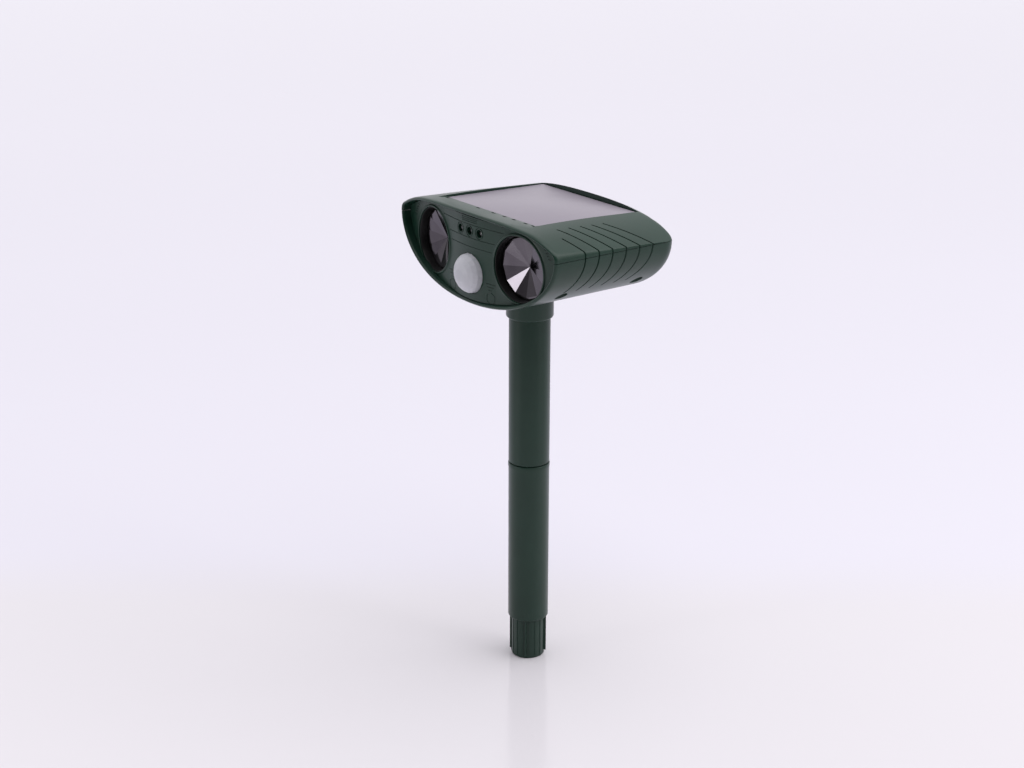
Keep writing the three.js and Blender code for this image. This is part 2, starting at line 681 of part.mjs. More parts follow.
function lensShell() {
  const steps = 6
  const points = []
  const base = -FACE_THICKNESS - GAP - 0.5
  for (let i = 0; i <= steps; i += 1) {
    const a = (Math.PI / 2) * (1 - i / steps)
    points.push([LENS_RADIUS * Math.cos(a), LENS_BULGE * Math.sin(a)])
  }
  points.push([LENS_RADIUS, base])
  points.push([LENS_RADIUS + 1.2, base])
  points.push([LENS_RADIUS + 1.2, base - 1])
  points.push([LENS_RADIUS - LENS_WALL, base - 1])
  for (let i = 0; i <= steps; i += 1) {
    const a = (Math.PI / 2) * (i / steps)
    const r = LENS_RADIUS - LENS_WALL
    points.push([r * Math.cos(a), (LENS_BULGE - LENS_WALL) * Math.sin(a)])
  }
  return onCentreLine(points, FACE_NOSE_Y + 0.3, LENS_Z)
}

addNode('sensor_lens', lensShell(), MILKY)

const boardFront = FACE_NOSE_Y + FACE_THICKNESS + 7
addNode('motion_sensor', onCentreLine([
  [0, 0],
  [4.1, 0],
  [4.1, -3.6],
  [4.6, -3.6],
  [4.6, -4.2],
  [0, -4.2],
], boardFront - GAP - 4.2, LENS_Z, 20), STEEL)

for (const i of [-1, 0, 1]) {
  const word = ['left', 'middle', 'right'][i + 1]
  const tip = FACE_NOSE_Y + 1.2
  addNode(`lamp_${word}`, onCentreLine([
    [0, 0],
    [LAMP_RADIUS * 0.7, -0.5],
    [LAMP_RADIUS, -1.6],
    [LAMP_RADIUS, tip - boardFront + GAP],
    [0, tip - boardFront + GAP],
  ], tip, LAMP_Z, 16).translate([i * LAMP_PITCH, 0, 0]), LAMP)
}

addNode('sensor_board', box(
  -15, 15, boardFront, boardFront + 1.6, LENS_Z - 9, LAMP_Z + 3.5), BOARD)
addNode('main_board', box(-34, 34, -17, 20, PARTING_Z - 4.8, PARTING_Z - 3.2), BOARD)

// ---------- shell screws ----------

function screw(x, y, z, headRadius, headHeight, shankRadius, length) {
  const shape = turned([
    [0, 0],
    [headRadius * 0.8, 0],
    [headRadius, headHeight * 0.4],
    [headRadius, headHeight],
    [shankRadius, headHeight],
    [shankRadius, length - 1],
    [shankRadius * 0.4, length],
    [0, length],
  ], 16)
  shape.rotateX(Math.PI / 2)
  shape.translate(x, y, z)
  return solid(shape).subtract(rod(headRadius * 0.45, x, y, z - 1, z + headHeight * 0.6, 6))
}

for (const [x, y] of wellSpots) {
  const word = `${x < 0 ? 'left' : 'right'}_${y < 0 ? 'front' : 'rear'}`
  const z = WELL_TOP_Z - GAP - SCREW_HEAD_HEIGHT
  addNode(`shell_screw_${word}`,
    screw(x, y, z, SCREW_HEAD_RADIUS, SCREW_HEAD_HEIGHT, SCREW_RADIUS, 14), STEEL)
}

// ---------- battery, holder and door ----------

addNode('battery_cell', joinAll([
  rodAlongX(CELL_RADIUS, CELL_Y, CELL_Z, -CELL_LENGTH / 2, CELL_LENGTH / 2 - 1.5),
  rodAlongX(3, CELL_Y, CELL_Z, CELL_LENGTH / 2 - 2, CELL_LENGTH / 2, 20),
]), WRAP)

for (const side of [-1, 1]) {
  const word = side < 0 ? 'left' : 'right'
  const x = side * (CELL_LENGTH / 2 + 0.7)
  addNode(`battery_contact_${word}`,
    box(x - 0.25, x + 0.25, CELL_Y - 5, CELL_Y + 5, CELL_Z - 5, CELL_Z + 5), STEEL)
}

function batteryHolder() {
  const end = CELL_LENGTH / 2 + 1.3
  const y0 = CELL_Y - CELL_RADIUS - HOLDER_WALL
  const body = box(-end - HOLDER_WALL, end + HOLDER_WALL, y0, HOLDER_REAR_Y,
    CELL_Z - 6.5, CELL_Z + CELL_RADIUS + 2)
  const trough = rodAlongX(CELL_RADIUS + GAP, CELL_Y, CELL_Z, -end, end)
  const mouth = box(-end, end, CELL_Y - CELL_RADIUS - GAP, CELL_Y + CELL_RADIUS + GAP,
    CELL_Z - 20, CELL_Z)
  return cutAll(body, [trough, mouth])
}

addNode('battery_holder', batteryHolder(), BLACK)

function batteryDoor() {
  const skin = outerForm.subtract(headForm(WALL - 0.2, FRONT_Y - 20))
  const blank = box(
    -DOOR_HALF_WIDTH, DOOR_HALF_WIDTH,
    CELL_Y - DOOR_HALF_DEPTH, CELL_Y + DOOR_HALF_DEPTH,
    UNDER_HEAD_Z, DOOR_TOP_Z - GAP)
  const holes = [-DOOR_SCREW_X, DOOR_SCREW_X].map((x) => (
    rod(1.5, x, CELL_Y, UNDER_HEAD_Z, BELLY_Z + 31, 16)))
  const sinks = [-DOOR_SCREW_X, DOOR_SCREW_X].map((x) => (
    rod(2.7, x, CELL_Y, UNDER_HEAD_Z, DOOR_SEAT_Z, 20)))
  const pads = [-DOOR_SCREW_X, DOOR_SCREW_X].map((x) => (
    rod(3.6, x, CELL_Y, BELLY_Z, DOOR_TOP_Z - GAP, 20).intersect(outerForm)))
  const body = joinAll([skin.intersect(blank), ...pads])
  return cutAll(body, [...holes, ...sinks])
}

addNode('battery_door', batteryDoor(), GREEN)
for (const side of [-1, 1]) {
  const word = side < 0 ? 'left' : 'right'
  addNode(`door_screw_${word}`,
    screw(side * DOOR_SCREW_X, CELL_Y, DOOR_SEAT_Z - GAP - 1.2, 2.3, 1.2, 1.1, 8), STEEL)
}

// ---------- rear controls ----------

function modeKnob() {
  const y = REAR_Y + GAP
  const disc = new THREE.CylinderGeometry(KNOB_RADIUS - 0.6, KNOB_RADIUS, KNOB_HEIGHT, 36)
  disc.translate(KNOB_X, y + KNOB_HEIGHT / 2, CONTROL_Z)
  const shaft = rodAlongY(3, KNOB_X, CONTROL_Z, REAR_Y - 5, y + 1, 24)
  const flats = [-1, 1].map((s) => (
    box(KNOB_X + s * 5 - 3, KNOB_X + s * 5 + 3, y + 2, y + 20, CONTROL_Z - 12, CONTROL_Z + 12)))
  const pointer = box(KNOB_X - 0.4, KNOB_X + 0.4, y + KNOB_HEIGHT - 0.6, y + 20,
    CONTROL_Z + 1, CONTROL_Z + 12)
  return cutAll(solid(disc), [...flats, pointer]).add(shaft)
}

addNode('mode_knob', modeKnob(), BLACK)
addNode('mode_dial_body', box(
  KNOB_X - 7, KNOB_X + 7, HOLDER_REAR_Y + 0.4, REAR_Y - 5 - GAP, CONTROL_Z - 5, CONTROL_Z + 7), GREY)

addNode('power_switch', joinAll([
  box(SWITCH_X - 2, SWITCH_X + 2, REAR_Y - 4, REAR_Y + 1.5, CONTROL_Z - 2, CONTROL_Z + 2),
]), BLACK)
addNode('power_switch_body', box(
  SWITCH_X - 5, SWITCH_X + 5 + SWITCH_TRAVEL, HOLDER_REAR_Y + 2, REAR_Y - 4 - GAP,
  CONTROL_Z - 3.5, CONTROL_Z + 3.5), GREY)

addNode('charging_port', box(
  -PORT_WIDTH / 2, PORT_WIDTH / 2, HOLDER_REAR_Y + 3, REAR_Y - 0.9,
  CONTROL_Z - PORT_HEIGHT / 2, CONTROL_Z + PORT_HEIGHT / 2).subtract(box(
  -PORT_WIDTH / 2 + 0.7, PORT_WIDTH / 2 - 0.7, HOLDER_REAR_Y + 5, REAR_Y + 2,
  CONTROL_Z - PORT_HEIGHT / 2 + 0.7, CONTROL_Z + PORT_HEIGHT / 2 - 0.7)), STEEL)

function portCover() {
  const y = REAR_Y + GAP
  const flap = box(-COVER_WIDTH / 2, COVER_WIDTH / 2, y, y + COVER_THICKNESS,
    CONTROL_Z - COVER_HEIGHT / 2, CONTROL_Z + COVER_HEIGHT / 2)
  const tab = box(-3, 3, y + 0.6, y + COVER_THICKNESS + 1,
    CONTROL_Z - COVER_HEIGHT / 2 - 2, CONTROL_Z - COVER_HEIGHT / 2 + 1.5)
  const plug = box(-PORT_WIDTH / 2 + 0.4, PORT_WIDTH / 2 - 0.4, y - 1, y + 0.5,
    CONTROL_Z - PORT_HEIGHT / 2 + 0.3, CONTROL_Z + PORT_HEIGHT / 2 - 0.6)
  return joinAll([flap, tab, plug])
}

addNode('port_cover', portCover(), RUBBER)

export default part
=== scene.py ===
import math

import bmesh
import bpy
from mathutils import Matrix, Vector


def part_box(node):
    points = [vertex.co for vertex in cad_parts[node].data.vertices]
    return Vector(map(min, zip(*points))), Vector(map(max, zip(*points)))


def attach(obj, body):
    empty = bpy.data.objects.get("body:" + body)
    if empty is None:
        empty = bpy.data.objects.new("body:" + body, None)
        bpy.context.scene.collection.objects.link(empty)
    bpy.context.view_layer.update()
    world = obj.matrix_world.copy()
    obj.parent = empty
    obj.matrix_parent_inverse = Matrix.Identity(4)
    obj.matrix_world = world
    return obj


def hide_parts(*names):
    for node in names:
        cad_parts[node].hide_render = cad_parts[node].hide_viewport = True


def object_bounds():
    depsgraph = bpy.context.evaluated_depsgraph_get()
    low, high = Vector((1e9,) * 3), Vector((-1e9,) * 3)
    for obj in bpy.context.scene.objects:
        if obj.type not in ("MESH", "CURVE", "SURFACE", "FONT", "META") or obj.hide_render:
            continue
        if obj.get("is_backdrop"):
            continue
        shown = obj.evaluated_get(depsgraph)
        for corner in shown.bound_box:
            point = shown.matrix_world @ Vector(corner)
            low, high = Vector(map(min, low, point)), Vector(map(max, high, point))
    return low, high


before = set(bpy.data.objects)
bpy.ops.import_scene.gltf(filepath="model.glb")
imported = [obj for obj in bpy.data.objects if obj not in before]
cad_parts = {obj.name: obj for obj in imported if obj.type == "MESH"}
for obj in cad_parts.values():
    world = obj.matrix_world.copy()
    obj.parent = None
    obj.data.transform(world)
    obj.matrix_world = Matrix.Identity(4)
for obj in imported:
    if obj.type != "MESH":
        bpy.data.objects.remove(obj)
cad_low, cad_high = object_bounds()
scene = bpy.context.scene
MM = 0.001


# ---------- camera ----------
# A camera with a short telephoto lens, in front and to the right, looking down on the head. The plain
# view transform shows the finishes as they are lit.

camera_data = bpy.data.cameras.new("camera")
camera_data.lens = 66.544
camera_data.sensor_width = 36
camera = bpy.data.objects.new("camera", camera_data)
camera.location = (0.8191, -0.6304, 0.5356)
camera.rotation_euler = [math.radians(a) for a in (70.6329, -0.1585, 53.0308)]
scene.collection.objects.link(camera)
scene.camera = camera
scene.view_settings.view_transform = "Standard"


# ---------- studio ----------
# A pale glossy table top that brightens towards the back, lit softly from above and from the right.
# The room is light behind the object and above it, and dim on the side the object faces.

FLOOR_REACH = 6.0
FLOOR_TURN = math.radians(-52.4)
FLOOR_FADE = (0.05, 0.15)
FLOOR_NEAR = (0.690, 0.670, 0.702, 1)
FLOOR_FAR = (0.695, 0.680, 0.752, 1)
SKY_PALE = (0.870, 0.855, 0.925, 1)
LIGHT_SIDE = Vector((-0.62, 0.42, 0.66))


def make_piece(name, shape):
    """Turns a finished shape into an object of its own."""
    mesh = bpy.data.meshes.new(name)
    shape.to_mesh(mesh)
    shape.free()
    piece = bpy.data.objects.new(name, mesh)
    scene.collection.objects.link(piece)
    return piece


def join(links, *wires):
    for source, output, target, socket in wires:
        links.new(source.outputs[output], target.inputs[socket])


def set_values(node, values):
    for socket, value in values.items():
        node.inputs[socket].default_value = value


def new_material(name):
    """A new finish, with its nodes, its links, its surface and its place on the piece."""
    material = bpy.data.materials.new(name)
    material.use_nodes = True
    nodes = material.node_tree.nodes
    place = nodes.new("ShaderNodeTexCoord")
    return material, nodes, material.node_tree.links, nodes["Principled BSDF"], place


def new_range(nodes, from_min, from_max, to_min, to_max):
    node = nodes.new("ShaderNodeMapRange")
    set_values(node, {"From Min": from_min, "From Max": from_max, "To Min": to_min, "To Max": to_max})
    return node


def new_ramp(nodes, low, dark, high, light):
    """A change from a dark colour, at low, to a light one, at high."""
    node = nodes.new("ShaderNodeValToRGB")
    for element, position, colour in zip(node.color_ramp.elements, (low, high), (dark, light)):
        element.position = position
        element.color = (*colour, 1)
    return node


def make_floor():
    shape = bmesh.new()
    bmesh.ops.create_circle(shape, cap_ends=True, segments=64, radius=FLOOR_REACH)
    floor = make_piece("floor", shape)
    material, nodes, links, gloss, place = new_material("table_top")
    set_values(gloss, {"Roughness": 0.14, "Specular IOR Level": 0.35})
    turn = nodes.new("ShaderNodeMapping")
    turn.inputs["Rotation"].default_value = (0, 0, FLOOR_TURN)
    split = nodes.new("ShaderNodeSeparateXYZ")
    fade = new_range(nodes, *FLOOR_FADE, 0, 1)
    fade.interpolation_type = "SMOOTHSTEP"
    tint = nodes.new("ShaderNodeMix")
    tint.data_type = "RGBA"
    set_values(tint, {"A": FLOOR_NEAR, "B": FLOOR_FAR})
    join(
        links,
        (place, "Object", turn, "Vector"),
        (turn, "Vector", split, "Vector"),
        (split, "Y", fade, "Value"),
        (fade, "Result", tint, "Factor"),
        (tint, "Result", gloss, "Base Color"),
    )
    floor.data.materials.append(material)
    floor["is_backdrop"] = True


def make_room():
    world = bpy.data.worlds.new("room")
    world.use_nodes = True
    scene.world = world
    nodes, links = world.node_tree.nodes, world.node_tree.links
    plain = nodes["Background"]
    set_values(plain, {"Color": SKY_PALE, "Strength": 1.0})
    shaded = nodes.new("ShaderNodeBackground")
    shaded.inputs["Strength"].default_value = 1.0
    way = nodes.new("ShaderNodeTexCoord")
    dot = nodes.new("ShaderNodeVectorMath")
    dot.operation = "DOT_PRODUCT"
    dot.inputs[1].default_value = LIGHT_SIDE.normalized()
    ramp = new_ramp(nodes, 0.42, (0.10, 0.095, 0.10), 0.85, (0.98, 0.96, 1.0))
    ramp.color_ramp.interpolation = "EASE"
    half = nodes.new("ShaderNodeMath")
    half.operation = "MULTIPLY_ADD"
    half.inputs[1].default_value = 0.5
    half.inputs[2].default_value = 0.5
    path = nodes.new("ShaderNodeLightPath")
    pick = nodes.new("ShaderNodeMixShader")
    join(
        links,
        (way, "Generated", dot, 0),
        (dot, "Value", half, 0),
        (half, "Value", ramp, "Fac"),
        (ramp, "Color", shaded, "Color"),
        (path, "Is Camera Ray", pick, "Fac"),
        (shaded, "Background", pick, 1),
        (plain, "Background", pick, 2),
        (pick, "Shader", nodes["World Output"], "Surface"),
    )


def make_light(name, place, aim, size, watts, tint):
    data = bpy.data.lights.new(name, "AREA")
    data.shape = "RECTANGLE"
    data.size, data.size_y = size
    data.energy = watts
    data.color = tint
    lamp = bpy.data.objects.new(name, data)
    lamp.location = place
    lamp.rotation_euler = (Vector(aim) - Vector(place)).to_track_quat("-Z", "Y").to_euler()
    lamp.visible_camera = False
    scene.collection.objects.link(lamp)


make_floor()
make_room()
daylight_data = bpy.data.lights.new("overhead_diffuser", "SUN")
daylight_data.energy = 1.55
daylight_data.angle = math.radians(70)
daylight_data.color = (1.0, 0.985, 1.0)
daylight = bpy.data.objects.new("overhead_diffuser", daylight_data)
daylight.rotation_euler = Vector((-0.35, -0.18, -1)).to_track_quat("-Z", "Y").to_euler()
scene.collection.objects.link(daylight)
make_light("right_softbox", (1.2, 0.55, 0.7), (0, 0, 0.16), (0.35, 1.1), 2.6, (1.0, 0.99, 1.0))
make_light("back_card", (0.80, 0.95, 1.0), (0, 0, 0.26), (0.9, 0.9), 2.5, (1.0, 1.0, 1.0))
make_light("front_card", (-0.275, -1.087, 0.295), (0.04, -0.034, 0.256), (0.24, 0.24), 1.15, (1, 1, 1))


# ---------- head casing ----------
# Two injection-moulded shells of dark green plastic, closed by four screws from below.
# They share one form: a wide arched section, bowed at the front, rounded off at the rear.
# The lower shell carries the collar and the spigot that sits in the pole.

HALF_WIDTH = cad_high.x
CROWN_Z = 281.0 * MM
BELLY_Z = 228.9 * MM
WIDEST_Z = 267.5 * MM
CROWN_PULL = 52.5 * MM
SHOULDER_Z = 278.4 * MM
CHEEK_Z = 248.2 * MM
BELLY_PULL = 47.3 * MM
MIDDLE_Z = 255.0 * MM
FRONT_Y = -43.2 * MM
FRONT_BOW = 4.3 * MM
REAR_Y = 48.8 * MM
REAR_BOW = 2.1 * MM
SIDE_ROUND = 8.0 * MM
TOP_ROUND = 11.0 * MM
SHELL_WALL = 2.2 * MM
RIM_REACH = 1.9 * MM
PARTING_GAP = 0.3 * MM
PARTING_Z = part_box("bottom_shell")[1].z + PARTING_GAP / 2
ROOF_Y = 42.0 * MM
ROOF_Z = 280.2 * MM
ROOF_SLOPE = math.tan(math.radians(3.0))
ROOF_CURVE = ((0, ROOF_Z), (30 * MM, ROOF_Z), (52 * MM, 278.5 * MM), (74 * MM, 266 * MM))
ROUND_STEPS = 96
ALONG_STEPS = 36
TURN_STEPS = 10
CORE_REACH = 20 * MM
FAR = 0.3
GRAIN_DEPTH = 0.03 * MM


def bezier(points, t):
    """The point at t on a curve through the first and last of four points."""
    a, b, c, d = points
    s = 1 - t
    return [s**3 * p + 3 * s * s * t * q + 3 * s * t * t * r + t**3 * w for p, q, r, w in zip(a, b, c, d)]


def section_point(around, depth):
    """A point of the head's section, depth inside the skin, and how much the skin faces upward there.

    Around is 0 and 1 at the belly and 0.5 at the crown.
    """
    side = 1 if around <= 0.5 else -1
    half = around if around <= 0.5 else 1 - around
    lower = ((0, BELLY_Z), (BELLY_PULL, BELLY_Z), (HALF_WIDTH, CHEEK_Z), (HALF_WIDTH, WIDEST_Z))
    upper = ((HALF_WIDTH, WIDEST_Z), (HALF_WIDTH, SHOULDER_Z), (CROWN_PULL, CROWN_Z), (0, CROWN_Z))
    curve, t = (lower, half * 4) if half <= 0.25 else (upper, half * 4 - 1)
    x, z = bezier(curve, t)
    step = 0.001
    x0, z0 = bezier(curve, max(t - step, 0))
    x1, z1 = bezier(curve, min(t + step, 1))
    along = Vector((x1 - x0, z1 - z0)).normalized()
    return side * (x - along.y * depth), z + along.x * depth, max(-along.x, 0)


def roof_height(x):
    """The height of the roof line that slopes over the casing, at a distance x from its middle."""
    low, high = 0.0, 1.0
    reach = min(abs(x), ROOF_CURVE[3][0])
    for _ in range(24):
        t = (low + high) / 2
        low, high = (t, high) if bezier(ROOF_CURVE, t)[0] < reach else (low, t)
    return bezier(ROOF_CURVE, low)[1]


def soft_lower(a, b, blend=1.2 * MM):
    """The lower of two heights, with a rounded change from one to the other."""
    near = max(blend - abs(a - b), 0) / blend
    return min(a, b) - near * near * blend / 4


def head_point(around, row):
    """Where a grid point of the casing lies.

    A row holds its depth inside the skin, its run from front to rear, how far its front is set back, its
    turn round the rear edge, and how far it shrinks towards the middle of the rear wall.
    """
    depth, run, lip, turn, shrink = row
    x, z, upward = section_point(around, depth)
    radius = SIDE_ROUND + (TOP_ROUND - SIDE_ROUND) * upward - depth
    pull = radius * (1 - math.cos(turn))
    x *= (HALF_WIDTH - pull) / HALF_WIDTH * shrink
    z = MIDDLE_Z + (z - MIDDLE_Z) * (1 - pull / (CROWN_Z - MIDDLE_Z)) * shrink
    front = FRONT_Y + FRONT_BOW * (x / HALF_WIDTH) ** 2 + lip
    rear = REAR_Y - REAR_BOW * (x / (HALF_WIDTH - SIDE_ROUND)) ** 2 - depth
    start = rear - radius
    y = front + (start - front) * run if turn == 0 else start + radius * math.sin(turn)
    z = soft_lower(z, roof_height(x) - ROOF_SLOPE * (y - ROOF_Y) - depth)
    return x, y, z


def rear_rows(depth):
    """Rows from the straight sides round the rear edge to the middle of the rear wall."""
    rows = [(depth, 1.0, 0.0, math.pi / 2 * i / TURN_STEPS, 1.0) for i in range(1, TURN_STEPS + 1)]
    return rows + [(depth, 1.0, 0.0, math.pi / 2, 1 - i / 6) for i in range(1, 7)]


def straight_rows(depth, lip, steps):
    return [(depth, i / steps, lip, 0.0, 1.0) for i in range(steps + 1)]


def rim_rows(wall):
    """The rounded front edge, from the inner skin to the outer one."""
    radius = wall / 2
    rows = []
    for i in range(1, 8):
        angle = math.pi * i / 8
        rows.append((radius + radius * math.cos(angle), 0.0, RIM_REACH * (1 - math.sin(angle)), 0.0, 1.0))
    return rows


def wrapped_grid(name, rows):
    """A closed skin: a grid whose columns go round the section and whose rows are the given ones."""
    shape = bmesh.new()
    last = len(rows) - 1
    bmesh.ops.create_grid(shape, x_segments=ROUND_STEPS, y_segments=last, size=1)
    for vertex in shape.verts:
        row = rows[round((vertex.co.y + 1) / 2 * last)]
        vertex.co = head_point((vertex.co.x + 1) / 2, row)
    bmesh.ops.remove_doubles(shape, verts=shape.verts, dist=0.008 * MM)
    bmesh.ops.recalc_face_normals(shape, faces=shape.faces)
    return make_piece(name, shape)


def casing_skin(name):
    """The casing as a hollow wall, open at the front with a rounded rim."""
    inner = straight_rows(SHELL_WALL, RIM_REACH, 12)[::-1]
    outer = straight_rows(0.0, RIM_REACH, ALONG_STEPS)
    rows = rear_rows(SHELL_WALL)[::-1] + inner + rim_rows(SHELL_WALL) + outer + rear_rows(0.0)
    return wrapped_grid(name, rows)


def casing_core(name, depth, forward):
    """A solid copy of the casing, depth inside its skin and reaching forward past its front."""
    front = [(depth, 0.0, -forward, 0.0, i / 4) for i in range(4)]
    return wrapped_grid(name, front + straight_rows(depth, -forward, ALONG_STEPS) + rear_rows(depth))


def block(name, low, high, turn=None):
    """A box between two corners, which can then be turned."""
    shape = bmesh.new()
    bmesh.ops.create_cube(shape, size=1)
    for vertex in shape.verts:
        vertex.co = [a + (b - a) * (c + 0.5) for a, b, c in zip(low, high, vertex.co)]
    if turn:
        bmesh.ops.transform(shape, matrix=turn, verts=shape.verts)
    return make_piece(name, shape)


def post(name, radius, low, high, steps=40):
    """A round bar between two points."""
    shape = bmesh.new()
    low, high = Vector(low), Vector(high)
    bmesh.ops.create_cone(
        shape, cap_ends=True, segments=steps, radius1=radius, radius2=radius, depth=(high - low).length
    )
    turn = (high - low).to_track_quat("Z", "Y").to_matrix().to_4x4()
    bmesh.ops.transform(shape, matrix=Matrix.Translation((low + high) / 2) @ turn, verts=shape.verts)
    return make_piece(name, shape)


def combine(piece, tool, operation, keep_tool=False):
    """Adds the tool to the piece, cuts it away, or keeps what they share."""
    change = piece.modifiers.new("change", "BOOLEAN")
    change.solver = "MANIFOLD"
    change.operation = operation
    change.object = tool
    bpy.context.view_layer.update()
    graph = bpy.context.evaluated_depsgraph_get()
    changed = bpy.data.meshes.new_from_object(piece.evaluated_get(graph))
    changed.name = piece.name
    piece.modifiers.clear()
    piece.data = changed
    if not keep_tool:
        bpy.data.objects.remove(tool)


def cut(piece, tool, keep_tool=False):
    combine(piece, tool, "DIFFERENCE", keep_tool)


def add(piece, tool):
    combine(piece, tool, "UNION")


def trim(piece, tool, keep_tool=False):
    combine(piece, tool, "INTERSECT", keep_tool)


def upright(name, radius, spot, low_z, high_z, steps=40):
    """A round bar that stands on a spot of the plan, from one height to another."""
    return post(name, radius, (*spot, low_z), (*spot, high_z), steps)


def smooth_with_sharp_edges(piece, degrees):
    shape = bmesh.new()
    shape.from_mesh(piece.data)
    bmesh.ops.remove_doubles(shape, verts=shape.verts, dist=0.0005 * MM)
    bmesh.ops.dissolve_degenerate(shape, edges=shape.edges, dist=0.0005 * MM)
    for face in shape.faces:
        face.smooth = True
        face.material_index = 0
    for edge in shape.edges:
        edge.smooth = edge.is_manifold and edge.calc_face_angle(0) < math.radians(degrees)
    shape.to_mesh(piece.data)
    shape.free()
    piece.data.materials.clear()


def new_noise(nodes, scale, detail):
    node = nodes.new("ShaderNodeTexNoise")
    set_values(node, {"Scale": scale, "Detail": detail})
    return node


def new_relief(nodes, strength):
    node = nodes.new("ShaderNodeBump")
    set_values(node, {"Strength": strength, "Distance": GRAIN_DEPTH})
    return node


def green_moulding(name, grain=0.5, wear=1.0):
    """Dark green moulded plastic: fine spark-eroded grain, slightly uneven gloss and pale rub marks."""
    material, nodes, links, skin, place = new_material(name)
    skin.inputs["Specular IOR Level"].default_value = 0.34
    flow = new_noise(nodes, 38, 5)
    tint = new_ramp(nodes, 0.3, (0.0085, 0.0320, 0.0205), 0.75, (0.0130, 0.0420, 0.0285))
    rub = new_noise(nodes, 420, 6)
    rub.inputs["Roughness"].default_value = 0.7
    rub_mask = new_range(nodes, 0.66, 0.80, 0, 0.35 * wear)
    scuffed = nodes.new("ShaderNodeMix")
    scuffed.data_type = "RGBA"
    scuffed.inputs["B"].default_value = (0.085, 0.120, 0.105, 1)
    gloss = new_range(nodes, 0.25, 0.75, 0.28, 0.38)
    erosion = new_noise(nodes, 2600, 2)
    relief = new_relief(nodes, grain)
    for texture in (flow, rub, erosion):
        links.new(place.outputs["Object"], texture.inputs["Vector"])
    join(
        links,
        (flow, "Fac", tint, "Fac"),
        (rub, "Fac", rub_mask, "Value"),
        (tint, "Color", scuffed, "A"),
        (rub_mask, "Result", scuffed, "Factor"),
        (scuffed, "Result", skin, "Base Color"),
        (flow, "Fac", gloss, "Value"),
        (gloss, "Result", skin, "Roughness"),
        (erosion, "Fac", relief, "Height"),
        (relief, "Normal", skin, "Normal"),
    )
    return material


casing_green = green_moulding("casing_green")

PANEL_LOW, PANEL_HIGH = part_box("solar_panel")
PANEL_FRONT_Z = 278.8 * MM
PANEL_DROP = 2.0 * MM
PANEL_THICKNESS = 2.4 * MM
PANEL_SEAL = 0.8 * MM
PANEL_MARGIN = 0.3 * MM
TRAY_WALL = 1.8 * MM
TRAY_DEPTH = PANEL_THICKNESS + PANEL_SEAL + PANEL_MARGIN


def panel_block(name, grow, lowest, highest):
    """A block in the panel's leaning plane, with heights counted from the panel's upper face."""
    depth = PANEL_HIGH.y - PANEL_LOW.y
    lean = Matrix.Rotation(-math.atan(PANEL_DROP / depth), 4, "X")
    centre = Vector((0, (PANEL_LOW.y + PANEL_HIGH.y) / 2, PANEL_FRONT_Z - PANEL_DROP / 2))
    half_x, half_y = PANEL_HIGH.x + grow, depth / 2 + grow
    place = Matrix.Translation(centre) @ lean
    return block(name, (-half_x, -half_y, lowest), (half_x, half_y, highest), place)


def groove_cutter():
    """Six thin blades on each side, fanned from front to rear, that stop just under the skin."""
    count, width, depth = 6, 0.9 * MM, 0.7 * MM
    first_y, pitch = -18.8 * MM, 9.4 * MM
    first_angle, angle_step = math.radians(27), math.radians(2.6)
    bottom_z, top_z = 246 * MM, CROWN_Z + 4 * MM
    core = casing_core("groove_core", depth, CORE_REACH)
    blades = None
    for side in (-1, 1):
        for i in range(count):
            angle = first_angle + angle_step * i
            top_x = 60 * MM if i == 0 else 51 * MM
            reach = (HALF_WIDTH - top_x) / math.cos(angle)
            place = Matrix.Translation((side * HALF_WIDTH, first_y + pitch * i, 0))
            turn = place @ Matrix.Rotation(side * angle, 4, "Z")
            ends = sorted((-side * reach, side * 5 * MM))
            low, high = (ends[0], -width / 2, bottom_z), (ends[1], width / 2, top_z)
            blade = block("blade", low, high, turn)
            cut(blade, core, keep_tool=True)
            if blades:
                add(blades, blade)
            else:
                blades = blade
    bpy.data.objects.remove(core)
    return blades


def front_land():
    """The wedge that levels the crown from the front edge down to the panel."""
    piece = block("front_land", (-42.8 * MM, FRONT_Y - MM, 0), (42.8 * MM, PANEL_LOW.y + MM, 1))
    for vertex in piece.data.vertices:
        if vertex.co.z > 0.5:
            vertex.co.z = CROWN_Z + 5 * MM
        else:
            vertex.co.z = CROWN_Z + 0.1 * MM if vertex.co.y < PANEL_LOW.y else PANEL_FRONT_Z + 0.3 * MM
    return piece


WELL_SPOTS = [(side * 57 * MM, y) for side in (-1, 1) for y in (-23 * MM, 30 * MM)]
WELL_RADIUS = 3.6 * MM
BOSS_RADIUS = 5.0 * MM
SLEEVE_RADIUS = 4.0 * MM
WELL_TOP_Z = 252.2 * MM
BOSS_TOP_Z = 256.6 * MM
PILOT_TOP_Z = BOSS_TOP_Z + 9 * MM
SCREW_HOLE = 1.8 * MM
NOTCH_SPOTS = [x * MM for x in (-39, -9.4, 4.7, 14.8, 23.2, 33.8, 40.5)]
NOTCH_HALF = 1.5 * MM
SHARP_TURN = 32
blades = groove_cutter()
inside = casing_core("inside", 0.35 * MM, 0.0)

